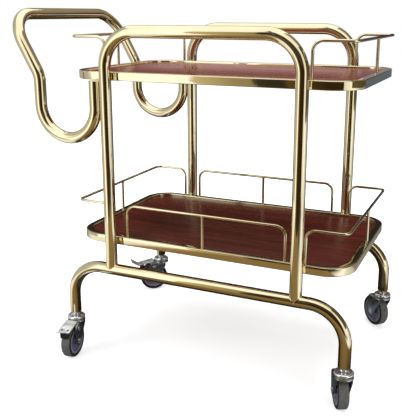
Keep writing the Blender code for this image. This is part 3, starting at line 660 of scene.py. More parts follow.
# Zinc-plated pressing, duller than the turned parts
fork_steel = make_mottled("fork_steel", patches=(90.0, 4.0, 0.6), colours=FORK_TONES, roughness=(0.22, 0.34),
                          metallic=1.0, grain=(600.0, 2.0), depth=0.00005)

# Moulded plastics and rubbers
# Hub: darkest where the web meets the barrel and darker over the recessed web than on the rim, a painted shade
# of the recess
hub_plastic = make_wheel_look("hub_plastic", [
    (0.20, (0.070, 0.065, 0.100)),
    (0.30, (0.135, 0.128, 0.205)),
    (0.62, (0.180, 0.170, 0.265)),
    (0.70, (0.250, 0.240, 0.320)),
], roughness=(0.38, 0.5), grain=500.0, depth=0.00005)
tyre_rubber = make_wheel_look("tyre_rubber", [
    (0.80, (0.030, 0.030, 0.034)),
    (0.90, (0.014, 0.014, 0.015)),
    (0.955, (0.022, 0.022, 0.021)),
    (0.985, (0.115, 0.112, 0.103)),
], roughness=(0.6, 0.8), grain=260.0, depth=0.0002)
brake_rubber = make_mottled("brake_rubber", MOULDING_PATCHES, BRAKE_TONES, roughness=(0.55, 0.75),
                            metallic=0.0, grain=(300.0, 2.0), depth=0.0001, specular=MOULDING_SPECULAR)
socket_plastic = make_mottled("socket_plastic", MOULDING_PATCHES, SOCKET_TONES, roughness=(0.4, 0.55),
                              metallic=0.0, grain=(400.0, 2.0), depth=0.00005, specular=MOULDING_SPECULAR)


# Tube frame

def saddle_height(point, plane):
    """The height of a base arch's upper side under a point of the hoop that stands on it."""
    across = min(abs(point.y - (plane + CENTRE.y)), TUBE_RADIUS)
    return ARCH_HEIGHT + sqrt(TUBE_RADIUS ** 2 - across ** 2)


def add_weld(mesh, ring, side_x, plane):
    """A weld round the foot of an upright, on the base arch."""
    centre = Vector((side_x * UPRIGHT_PLACE, plane, 0)) + CENTRE
    section = [
        (WELD_RISE, -SEAT_GAP), (WELD_RISE, SAME_POINT), (WELD_RISE / 3, WELD_SPREAD / 3),
        (0, WELD_SPREAD), (-SEAT_GAP * 3, WELD_SPREAD / 2),
    ]
    weld = []
    for rise, spread in section:
        loop = []
        for point in ring:
            outward = Vector((point.x - centre.x, point.y - centre.y, 0)).normalized()
            place = Vector((point.x, point.y, 0)) + outward * spread
            loop.append(Vector((place.x, place.y, saddle_height(place, plane) + rise)))
        weld.append(loop)
    loft(mesh, weld, closed=True)


def make_hoop(node, plane):
    """An inverted U whose feet are coped over the base arch, each with its weld."""
    path = arch_path(UPRIGHT_PLACE, plane, ARCH_HEIGHT, HOOP_HEIGHT, HOOP_BEND_RADIUS, TUBE_BEND_STEPS)
    rings, _ = tube_rings(path, TUBE_RADIUS, TUBE_SIDES)
    for index in (0, -1):
        rings[index] = [Vector((point.x, point.y, saddle_height(point, plane))) for point in rings[index]]
    mesh = bmesh.new()
    loft(mesh, rings)
    add_weld(mesh, rings[0], -1, plane)
    add_weld(mesh, rings[-1], 1, plane)
    place_piece(node, shaped(mesh), gold, "root")


def make_base_arch(node, plane):
    """A low arch whose feet are open tube ends with the caster sockets inside."""
    path = arch_path(FOOT_PLACE, plane, FOOT_END_HEIGHT, ARCH_HEIGHT, ARCH_BEND_RADIUS, TUBE_BEND_STEPS)
    rings, _ = tube_rings(path, TUBE_RADIUS, TUBE_SIDES)
    up = Vector((0, 0, 1))
    bore = TUBE_RADIUS - TUBE_WALL
    ends = []
    for ring, foot in ((rings[0], path[0]), (rings[-1], path[-1])):
        inner = [foot + (point - foot) * bore / TUBE_RADIUS for point in ring]
        lip = [foot + (point - foot) * (1 - TUBE_END_ROUNDING / TUBE_RADIUS) for point in ring]
        raised = [point + up * TUBE_END_ROUNDING for point in ring]
        deep = [point + up * FOOT_BORE_DEPTH for point in inner]
        ends.append([deep, inner, lip, raised])
    mesh = bmesh.new()
    loft(mesh, ends[0] + rings[1:-1] + ends[1][::-1])
    place_piece(node, shaped(mesh), gold, "root")


def make_push_handle():
    """One bent tube: an arm at either side, looped under itself and leaning out, and the grip between them."""
    inner = -(UPRIGHT_PLACE + 2 * TUBE_RADIUS + SEAT_GAP)
    outer = inner - 2 * LOOP_RADIUS
    loop_bottom = LOOP_HEIGHT - LOOP_RADIUS
    arm_top = RIM_TOPS["upper"] - RIM_DEPTH
    grip = outer - (GRIP_HEIGHT - LEAN_START_HEIGHT) * tan(LEAN_ANGLE)
    profile = [
        (inner, arm_top), (inner, loop_bottom),
        (outer, loop_bottom), (outer, LEAN_START_HEIGHT),
        (grip, GRIP_HEIGHT),
    ]
    front = [(x, -FRAME_PLANE, z) for x, z in profile]
    rear = [(x, FRAME_PLANE, z) for x, z in reversed(profile)]
    arm_radii = [LOOP_RADIUS, LOOP_RADIUS, LEAN_BEND_RADIUS, GRIP_BEND_RADIUS]
    path = rounded_path(centred(front + rear), arm_radii + arm_radii[::-1], TUBE_BEND_STEPS)
    mesh = bmesh.new()
    capped_tube(mesh, path, TUBE_RADIUS, TUBE_SIDES, TUBE_END_ROUNDING)
    place_piece("push_handle", shaped(mesh), gold, "root")


# Shelves

def rim_ring(inset, height):
    """A ring at a height, inset from the rim's outer side."""
    half_length = SHELF_HALF_LENGTH - inset
    return round_rectangle(half_length, SHELF_HALF_WIDTH - inset, RIM_CORNER_RADIUS - inset, height)


def make_rim(node, top):
    """A frame of rectangular tube with rounded edges and a ledge inside it for the board."""
    bottom = top - RIM_DEPTH
    edge = RIM_EDGE_RADIUS
    ledge = RIM_WIDTH + LEDGE_WIDTH
    ledge_top = bottom + LEDGE_THICKNESS
    section = arc((edge, bottom + edge), edge, 3 * QUARTER_TURN, pi, ROUND_STEPS)
    section += arc((edge, top - edge), edge, pi, QUARTER_TURN, ROUND_STEPS)
    section += arc((RIM_WIDTH - edge, top - edge), edge, QUARTER_TURN, 0, ROUND_STEPS)
    section += [(RIM_WIDTH, ledge_top), (ledge, ledge_top), (ledge, bottom)]
    mesh = bmesh.new()
    loft(mesh, [rim_ring(inset, height) for inset, height in section], closed=True)
    place_piece(node, shaped(mesh), gold, "root")


def make_board(node, rim_top):
    """The board that lies on the rim's ledge, its upper edge rounded."""
    bottom = rim_top - RIM_DEPTH + LEDGE_THICKNESS + SEAT_GAP
    top = bottom + BOARD_THICKNESS
    inset = RIM_WIDTH + SEAT_GAP
    edge = BOARD_EDGE_RADIUS
    section = [(inset, bottom)]
    section += arc((inset + edge, top - edge), edge, pi, QUARTER_TURN, ROUND_STEPS)
    mesh = bmesh.new()
    loft(mesh, [rim_ring(across, height) for across, height in section])
    place_piece(node, shaped(mesh), wood, "root")


# Guard rails

def make_rail(node, path, post_foot):
    """A bent wire and the post that is welded under the middle of its run, flared at the weld."""
    height = RAIL_SEAT_DEPTH + RAIL_RISE
    flare = RAIL_RADIUS * FLARE_SHARE
    profile = [
        (RAIL_RADIUS, 0),
        (RAIL_RADIUS, height - RAIL_RADIUS * FLARE_START_SHARE),
        (flare, height - RAIL_RADIUS * FLARE_END_SHARE),
        (flare, height),
    ]
    mesh = turned(profile, Matrix.Translation(post_foot), sides=WIRE_SIDES)
    capped_tube(mesh, path, RAIL_RADIUS, WIRE_SIDES, WIRE_END_ROUNDING)
    place_piece(node, shaped(mesh), gold, "root")


def make_end_rail(node, side_x, rim_top):
    """The rail round one end of a shelf."""
    foot = rim_top - RAIL_SEAT_DEPTH
    run = rim_top + RAIL_RISE
    leg = side_x * END_RAIL_LEG_PLACE
    end = side_x * RAIL_END_LINE
    corners = [
        (leg, -RAIL_LINE, foot), (leg, -RAIL_LINE, run), (end, -RAIL_LINE, run),
        (end, RAIL_LINE, run), (leg, RAIL_LINE, run), (leg, RAIL_LINE, foot),
    ]
    radii = [RAIL_BEND_RADIUS, RAIL_PLAN_RADIUS, RAIL_PLAN_RADIUS, RAIL_BEND_RADIUS]
    path = rounded_path(centred(corners), radii, WIRE_BEND_STEPS)
    make_rail(node, path, Vector((end, 0, foot)) + CENTRE)


def make_side_rail(node, side_y, rim_top):
    """The rail along one side of a shelf."""
    foot = rim_top - RAIL_SEAT_DEPTH
    run = rim_top + RAIL_RISE
    line = side_y * RAIL_LINE
    path = arch_path(SIDE_RAIL_HALF_LENGTH, line, foot, run, RAIL_BEND_RADIUS, WIRE_BEND_STEPS)
    make_rail(node, path, Vector((0, line, foot)) + CENTRE)


# Casters, each in its own frame: X is the way its wheel trails and Z its swivel axis

def make_stem(name, place):
    """The turned stem: king pin with its head, race cap, neck and the shank that the socket grips."""
    shoulder = FOOT_END_HEIGHT - SEAT_GAP
    head_top = CROWN_UNDERSIDE - SEAT_GAP
    top = FOOT_END_HEIGHT + STEM_LENGTH
    edge = PIN_HEAD_ROUNDING
    rim = (RACE_RADIUS - RACE_EDGE, RACE_UNDERSIDE + RACE_EDGE)
    cap = (RACE_RADIUS - RACE_ROUNDING, RACE_TOP - RACE_ROUNDING)
    profile = [
        (PIN_HEAD_RADIUS - edge, head_top - PIN_HEAD_THICKNESS),
        (PIN_HEAD_RADIUS, head_top - PIN_HEAD_THICKNESS + edge),
        (PIN_HEAD_RADIUS, head_top), (KING_PIN_RADIUS, head_top),
        (KING_PIN_RADIUS, RACE_UNDERSIDE), (RACE_RADIUS - RACE_EDGE, RACE_UNDERSIDE),
    ]
    profile += arc(rim, RACE_EDGE, RACE_EDGE_START, 0, RACE_EDGE_STEPS)
    profile += arc(cap, RACE_ROUNDING, RACE_CAP_START, QUARTER_TURN, RACE_CAP_STEPS)
    profile += [
        (NECK_RADIUS + 3 * NECK_FLARE, RACE_TOP),
        (NECK_RADIUS + NECK_FLARE, RACE_TOP + NECK_FLARE / 3),
        (NECK_RADIUS, RACE_TOP + NECK_FLARE),
        (NECK_RADIUS, shoulder - NECK_FLARE / 2), (NECK_RADIUS - NECK_FLARE / 2, shoulder),
        (STEM_RADIUS, shoulder), (STEM_RADIUS, top - STEM_TAPER), (STEM_RADIUS - STEM_TAPER, top),
    ]
    place_piece(name + "_caster_stem", shaped(turned(profile)), zinc, "root", place)


def make_stem_socket(name, place):
    """The plastic sleeve in the foot that grips the stem."""
    bore = STEM_RADIUS + SEAT_GAP
    low = FOOT_END_HEIGHT
    high = FOOT_END_HEIGHT + FOOT_BORE_DEPTH - SEAT_GAP
    profile = [(bore, low), (SOCKET_RADIUS, low), (SOCKET_RADIUS, high), (bore, high)]
    data = shaped(turned(profile, closed=True))
    place_piece(name + "_stem_socket", data, socket_plastic, "root", place)


def make_ball_cage(name, place):
    """The cage ring with its row of balls showing in the gap between the races."""
    low = CAGE_UNDERSIDE
    high = CAGE_UNDERSIDE + CAGE_THICKNESS
    bore = CAGE_BORE_RADIUS
    outer = CAGE_RADIUS - BALL_RADIUS
    mesh = turned([(bore, low), (outer, low), (outer, high), (bore, high)], closed=True)
    for x, y in circle(BALL_CIRCLE_RADIUS, BALL_COUNT):
        centre = Matrix.Translation((x, y, (low + high) / 2))
        bmesh.ops.create_icosphere(mesh, subdivisions=2, radius=BALL_RADIUS, matrix=centre)
    place_piece(name + "_ball_cage", shaped(mesh), zinc, name + "_swivel", place)


def make_fork(name, brake, place):
    """A pressed fork: a crown with its lower race, a hood over the wheel and two legs down to the axle."""
    hood = RACE_RADIUS if brake else HOOD_REACH
    outline = [(-FORK_TAIL, CROWN_TOP), (hood, CROWN_TOP), (SHOULDER_REACH, CROWN_TOP - SHOULDER_DROP)]
    outline += arc((CASTER_TRAIL, WHEEL_RADIUS), BOSS_RADIUS, BOSS_FRONT_ANGLE, BOSS_REAR_ANGLE, BOSS_STEPS)
    outline.append((-FORK_TAIL, CROWN_TOP - SHOULDER_DROP))
    mesh = bmesh.new()
    prism(mesh, outline, -FORK_WIDTH / 2, FORK_WIDTH / 2)
    bends = [
        edge for edge in mesh.edges
        if all(abs(vert.co.z - CROWN_TOP) < SEAT_GAP for vert in edge.verts)
        and abs(edge.verts[0].co.y - edge.verts[1].co.y) < SEAT_GAP
    ]
    bmesh.ops.bevel(mesh, geom=bends, offset=FORK_BEND_RADIUS, segments=FORK_BEND_STEPS, profile=0.5,
                    affect="EDGES")

    edge = FORK_SHEET / 2
    ring_top = CROWN_TOP + CROWN_RING_THICKNESS
    profile = [
        (RACE_RADIUS - edge / 2, CROWN_UNDERSIDE), (RACE_RADIUS, CROWN_UNDERSIDE + edge / 2),
        (RACE_RADIUS, CROWN_TOP - edge / 2), (CROWN_RING_RADIUS, CROWN_TOP + edge / 4),
    ]
    profile += arc((CROWN_RING_RADIUS - edge, ring_top - edge), edge, 0, QUARTER_TURN, CROWN_EDGE_STEPS)

    reach = SHOULDER_REACH + OVERRUN
    floor = WHEEL_RADIUS - BOSS_RADIUS - OVERRUN
    rear = -(RACE_RADIUS + OVERRUN)
    hollow = [(rear, floor), (rear, CROWN_UNDERSIDE)]
    if brake:
        hollow += [(hood, CROWN_UNDERSIDE), (hood, CROWN_TOP + OVERRUN), (reach, CROWN_TOP + OVERRUN)]
    else:
        hollow.append((reach, CROWN_UNDERSIDE))
    hollow.append((reach, floor))
    space = bmesh.new()
    prism(space, hollow, -FORK_INSIDE, FORK_INSIDE)
    bore = KING_PIN_RADIUS + SEAT_GAP
    hole = turned([(bore, CROWN_UNDERSIDE - OVERRUN), (bore, ring_top + OVERRUN)])
    steps = [("UNION", turned(profile)), ("DIFFERENCE", space), ("DIFFERENCE", hole)]
    data = shaped(mesh, steps, FORK_EDGE_ROUNDING)
    place_piece(name + "_fork", data, fork_steel, name + "_swivel", place)


def dome(radius, seat, thickness):
    """The profile of a low domed rivet head, from its seat to its top."""
    brim = seat + thickness / 4
    points = [(radius, seat), (radius, brim)]
    for step in range(1, HEAD_STEPS):
        angle = QUARTER_TURN * step / HEAD_STEPS
        points.append((radius * cos(angle), brim + thickness * 3 / 4 * sin(angle)))
    points.append((radius / 20, seat + thickness))
    return points


def mirrored(half):
    """A closed profile from its upper half, mirrored in height."""
    return half + [(radius, -height) for radius, height in reversed(half)]


def make_axle(name, place):
    """The axle with a domed head at either end."""
    seat = FORK_WIDTH / 2 + SEAT_GAP
    half = [(AXLE_RADIUS, seat)] + dome(AXLE_HEAD_RADIUS, seat, AXLE_HEAD_THICKNESS)
    profile = [(radius, -height) for radius, height in reversed(half)] + half
    mesh = turned(profile, facing((0, 1, 0), (CASTER_TRAIL, 0, WHEEL_RADIUS)))
    place_piece(name + "_axle", shaped(mesh), zinc, name + "_swivel", place)


def make_wheel(name, place):
    """The hub, with its recessed web, and the tyre round it."""
    axle = Vector((CASTER_TRAIL, 0, WHEEL_RADIUS))
    axis = facing((0, 1, 0), axle)
    bore = AXLE_RADIUS + SEAT_GAP
    barrel_end = FORK_INSIDE - SEAT_GAP
    web = HUB_WEB_THICKNESS / 2
    rim_end = TYRE_WIDTH / 2 - HUB_RIM_INSET
    rim_inside = TYRE_SEAT_RADIUS - HUB_RIM_THICKNESS
    edge = HUB_RIM_INSET / 2
    half = [
        (bore, barrel_end), (HUB_BARREL_RADIUS - edge, barrel_end), (HUB_BARREL_RADIUS, barrel_end - edge),
        (HUB_BARREL_RADIUS + HUB_SLOPE / 2, web + HUB_SLOPE / 2), (HUB_BARREL_RADIUS + HUB_SLOPE, web),
        (rim_inside - HUB_SLOPE, web), (rim_inside - HUB_SLOPE / 2, web + HUB_SLOPE / 2),
        (rim_inside, rim_end - edge), (rim_inside + edge, rim_end),
        (TYRE_SEAT_RADIUS - edge, rim_end), (TYRE_SEAT_RADIUS, rim_end - edge),
    ]
    data = map_wheel(shaped(turned(mirrored(half), axis, closed=True)), axle)
    place_piece(name + "_hub", data, hub_plastic, name + "_wheel", place)

    inner = TYRE_SEAT_RADIUS + SEAT_GAP
    side = TYRE_WIDTH / 2
    half = [(inner, side - HUB_RIM_INSET), (inner + edge, side - edge), (WHEEL_RADIUS - TYRE_SHOULDER, side)]
    centre = (WHEEL_RADIUS - TYRE_SHOULDER, side - TYRE_SHOULDER)
    half += arc(centre, TYRE_SHOULDER, 0, QUARTER_TURN, SHOULDER_STEPS)[::-1][1:]
    data = map_wheel(shaped(turned(mirrored(half), axis, closed=True)), axle)
    place_piece(name + "_tyre", data, tyre_rubber, name + "_wheel", place)


def pedal_line():
    """The pedal's upper face: a tread that falls away from the stem, and a lip turned up at its end."""
    start = (PEDAL_START - CASTER_TRAIL, CROWN_TOP + CROWN_RING_THICKNESS + PEDAL_SHEET - PIVOT_HEIGHT)
    low = (start[0] + PEDAL_LENGTH, start[1] - PEDAL_FALL)
    tip = (low[0] + LIP_LENGTH, low[1] + LIP_RISE)
    corners = [Vector((x, 0, z)) for x, z in (start, low, tip)]
    return [(point.x, point.z) for point in rounded_path(corners, [LIP_BEND_RADIUS], LIP_BEND_STEPS)]


def tread_height(x, line, sheet=PEDAL_SHEET):
    """The height of the tread at a distance from the hinge line, under a thickness of its sheet."""
    (start_x, start_z), (low_x, low_z) = line[:2]
    fall = (start_z - low_z) / (low_x - start_x)
    return start_z - fall * (x - start_x) - sheet * hypot(1, fall)


def shoe_tabs():
    """Where the shoe's tabs go through the pedal: how far out, and their places across it."""
    middle = (SHOE_LOW_ANGLE + SHOE_HIGH_ANGLE) / 2
    return (WHEEL_RADIUS + SHOE_CLEARANCE) * cos(middle), (-SHOE_TAB_SPACING / 2, SHOE_TAB_SPACING / 2)


def make_pedal(name, place):
    """The brake pedal, in the frame of its hinge line."""
    line = pedal_line()
    mesh = bmesh.new()
    prism(mesh, sheet_outline(line, PEDAL_SHEET), -PEDAL_HALF_WIDTH, PEDAL_HALF_WIDTH)
    rear = line[0][0]
    front = rear + EAR_LENGTH
    outline = arc((0, 0), PIVOT_BOSS_RADIUS, PIVOT_REAR_ANGLE, PIVOT_FRONT_ANGLE, PIVOT_STEPS)
    sink = PEDAL_SHEET / 2
    outline += [(front, tread_height(front, line) + sink), (rear, tread_height(rear, line) + sink)]
    inner = PEDAL_HALF_WIDTH - PEDAL_EAR_THICKNESS
    ears = bmesh.new()
    prism(ears, outline, inner, PEDAL_HALF_WIDTH)
    prism(ears, outline, -PEDAL_HALF_WIDTH, -inner)

    bore = RIVET_RADIUS + SEAT_GAP
    reach = PEDAL_HALF_WIDTH + OVERRUN
    holes = turned([(bore, 0), (bore, 2 * reach)], facing((0, 1, 0), (0, -reach, 0)))
    along, places = shoe_tabs()
    tread = tread_height(along, line)
    slot = (SHOE_TAB_LENGTH + 2 * SEAT_GAP, SHOE_TAB_WIDTH + 2 * SEAT_GAP)
    for across in places:
        box_prism(holes, along, across, *slot, tread - OVERRUN, tread + PEDAL_SHEET + OVERRUN)
    for index in range(PEDAL_GROOVES):
        x = rear + PEDAL_GROOVE_START + index * PEDAL_GROOVE_PITCH
        z = tread_height(x, line, sheet=0)
        box_prism(holes, x, 0, PEDAL_GROOVE_WIDTH, 2 * reach, z - PEDAL_GROOVE_DEPTH, z + OVERRUN)
    data = shaped(mesh, [("UNION", ears), ("DIFFERENCE", holes)], PEDAL_EDGE_ROUNDING)
    place_piece(name + "_brake_pedal", data, pedal_zinc, name + "_pedal", place)


def make_shoe(name, place):
    """The toothed block under the pedal's tread."""
    line = pedal_line()
    axle_z = WHEEL_RADIUS - PIVOT_HEIGHT
    tips = WHEEL_RADIUS + SHOE_CLEARANCE
    roots = tips + SHOE_TOOTH_DEPTH
    step = (SHOE_HIGH_ANGLE - SHOE_LOW_ANGLE) / (2 * SHOE_TEETH)
    teeth = []
    for index in range(2 * SHOE_TEETH + 1):
        radius = roots if index % 2 else tips
        angle = SHOE_LOW_ANGLE + index * step
        teeth.append((radius * cos(angle), axle_z + radius * sin(angle)))
    high_x = teeth[-1][0]
    low_x = teeth[0][0] + SHOE_TOOTH_DEPTH
    outline = teeth + [(x, tread_height(x, line) - SEAT_GAP) for x in (high_x, low_x)]
    mesh = bmesh.new()
    prism(mesh, outline, -SHOE_WIDTH / 2, SHOE_WIDTH / 2)
    tabs = bmesh.new()
    along, places = shoe_tabs()
    tread = tread_height(along, line)
    low = tread - SHOE_TAB_WIDTH
    for across in places:
        box_prism(tabs, along, across, SHOE_TAB_LENGTH, SHOE_TAB_WIDTH, low, tread + PEDAL_SHEET)
    data = shaped(mesh, [("UNION", tabs)], SHOE_EDGE_ROUNDING)
    place_piece(name + "_brake_shoe", data, brake_rubber, name + "_pedal", place)


def make_rivet(name, letter, side, place):
    """One of the two rivets that the pedal hinges on."""
    seat = FORK_WIDTH / 2 + SEAT_GAP
    tail = PEDAL_HALF_WIDTH - PEDAL_EAR_THICKNESS - SEAT_GAP
    profile = [(RIVET_RADIUS, tail), (RIVET_RADIUS, seat)]
    profile += dome(RIVET_HEAD_RADIUS, seat, RIVET_HEAD_THICKNESS)
    mesh = turned(profile, facing((0, side, 0), (CASTER_TRAIL, 0, PIVOT_HEIGHT)))
    node = name + "_pedal_rivet_" + letter
    place_piece(node, shaped(mesh), zinc, name + "_swivel", place)


def make_caster(name, brake):
    """All the pieces of a caster, turned the way its joints stand at rest."""
    places = {joint["name"]: Vector(joint["pos_m"]) for joint in frame["joints"]}
    swivel = places[name + "_swivel_joint"]
    wheel = places[name + "_wheel_joint"]
    angle = atan2(wheel.y - swivel.y, wheel.x - swivel.x)
    place = Matrix.Translation((swivel.x, swivel.y, 0)) @ Matrix.Rotation(angle, 4, "Z")
    make_stem_socket(name, place)
    make_stem(name, place)
    make_ball_cage(name, place)
    make_fork(name, brake, place)
    make_axle(name, place)
    make_wheel(name, place)
    if brake:
        hinge = place @ Matrix.Translation((CASTER_TRAIL, 0, PIVOT_HEIGHT))
        make_rivet(name, "a", 1, place)
        make_rivet(name, "b", -1, place)
        make_pedal(name, hinge)
        make_shoe(name, hinge)


# Studio

def make_camera():
    """The photograph's camera."""
    data = bpy.data.cameras.new("camera")
    data.lens = FOCAL_PIXELS * SENSOR / IMAGE_HEIGHT
    data.sensor_width = SENSOR
    data.shift_x = SHIFT_PIXELS[0] / IMAGE_HEIGHT
    data.shift_y = SHIFT_PIXELS[1] / IMAGE_HEIGHT
    turn = Matrix.Rotation(-CAMERA_AZIMUTH, 4, "Z")
    dip = Matrix.Rotation(QUARTER_TURN - CAMERA_DIP, 4, "X")
    roll = Matrix.Rotation(-CAMERA_ROLL, 4, "Z")
    camera = add_object("camera", data)
    camera.matrix_world = Matrix.Translation(CAMERA_PLACE + CENTRE) @ turn @ dip @ roll
    bpy.context.scene.camera = camera


def make_floor():
    """A plain pale floor that the camera sees as white, with the cart's shadow kept on it."""
    mesh = bmesh.new()
    bmesh.ops.create_grid(mesh, x_segments=1, y_segments=1, size=FLOOR_REACH)
    floor = add_mesh("floor", mesh)
    material, nodes = new_material("floor_paint")
    marks = nodes.noise(nodes.place(), scale=3.0)
    paint = nodes.add("BsdfDiffuse", Color=nodes.tones(marks, (0.78, 0.78, 0.78), (0.82, 0.82, 0.82)))
    distance = nodes.add("VectorMath", {"operation": "LENGTH"})
    nodes.put(distance, 0, nodes.place())
    strength = nodes.remap(distance.outputs["Value"], FLOOR_GLOW, 1.0, GLOW_START, GLOW_END)
    both = nodes.add("AddShader")
    nodes.put(both, 0, paint.outputs[0])
    nodes.put(both, 1, nodes.add("Emission", Color=(1, 1, 1, 1), Strength=strength).outputs[0])
    nodes.surface(nodes.mix(nodes.add("LightPath").outputs["Is Camera Ray"], paint, both))
    floor.data.materials.append(material)
    floor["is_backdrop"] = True


def make_world():
    """A soft even light from all round, and plain white behind the cart."""
    world = bpy.data.worlds.new("studio")
    world.use_nodes = True
    bpy.context.scene.world = world
    nodes = Nodes(world.node_tree)
    fill = nodes.add("Background", Color=(1, 1, 1, 1), Strength=WORLD_FILL)
    white = nodes.add("Background", Color=(1, 1, 1, 1), Strength=1.0)
    path = nodes.add("LightPath")
    seen = nodes.math("MAXIMUM", path.outputs["Is Camera Ray"], path.outputs["Is Glossy Ray"])
    seen = nodes.math("MAXIMUM", seen, path.outputs["Is Transmission Ray"])
    shown = nodes.mix(seen, fill, white)
    nodes.tree.links.new(shown.outputs[0], nodes.add("OutputWorld").inputs["Surface"])


def make_lamp(name, centre, width, power):
    """A square lamp aimed at the cart, which reflections don't show."""
    data = bpy.data.lights.new(name, "AREA")
    data.size = width
    data.energy = power
    lamp = add_object(name, data)
    centre = Vector(centre) + CENTRE
    aim = (LAMP_TARGET + CENTRE - centre).to_track_quat("-Z", "Y").to_matrix().to_4x4()
    lamp.matrix_world = Matrix.Translation(centre) @ aim
    lamp.visible_glossy = False


def make_panel(name, corners, across, upward, tint):
    """A studio panel that only reflections see. Its level is the product of two ramps, along and up it."""
    mesh = bmesh.new()
    quad = mesh.faces.new([mesh.verts.new(point) for point in centred(corners)])
    layer = mesh.loops.layers.uv.new("panel")
    for loop, spot in zip(quad.loops, ((0, 0), (1, 0), (1, 1), (0, 1))):
        loop[layer].uv = spot
    panel = add_mesh(name, mesh)
    for ray in ("camera", "diffuse", "transmission", "shadow"):
        setattr(panel, "visible_" + ray, False)
    material, nodes = new_material(name)
    spot = nodes.add("SeparateXYZ", Vector=nodes.add("TexCoord").outputs["UV"])
    along = nodes.ramp(spot.outputs["X"], [(place, (level,) * 3) for place, level in across.items()])
    up = nodes.ramp(spot.outputs["Y"], [(place, (level,) * 3) for place, level in upward.items()])
    strength = nodes.math("MULTIPLY", nodes.math("MULTIPLY", along, up), PANEL_LEVEL)
    nodes.surface(nodes.add("Emission", Color=(*tint, 1), Strength=strength))
    panel.data.materials.append(material)
    panel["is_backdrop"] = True


def wall(start, end, low=0, high=ROOM_HEIGHT):
    """The corners of an upright panel from one plan point to another."""
    return [(*start, low), (*end, low), (*end, high), (*start, high)]


def level_card(low, high, height=CARD_HEIGHT):
    """The corners of a level panel, from its low corner to its high one."""
    return [(x, y, height) for x, y in (low, (high[0], low[1]), high, (low[0], high[1]))]


# Where the wall panels meet in plan, from the middle of the shelves
REAR_LEFT = (-1.6, 1.3)
LEFT_BEND = (-1.15, -0.85)
LEFT_FRONT = (-0.885, -0.997)
RIGHT_FRONT = (1.45, -1.26)
RIGHT_BEND = (1.55, 0.15)
REAR_RIGHT = (1.3, 1.7)
FLAG_BEND = (1.53, 0.15)

# Ramps of {place: level}, and tints
EVEN = {0: 1, 1: 1}
FLAG_RAMP = {0: 2.4, 0.03: 1, 1: 1}
WHITE = (1, 1, 1)
WARM = (1, 0.69, 0.30)
DARK_WARM = (1, 0.58, 0.18)
FLAG_WARM = (1, 0.80, 0.36)
COOL = (0.86, 0.93, 1)
GREY = (1, 0.93, 0.82)
ROSE = (1, 0.66, 0.64)
SLATE = (0.66, 0.78, 1)

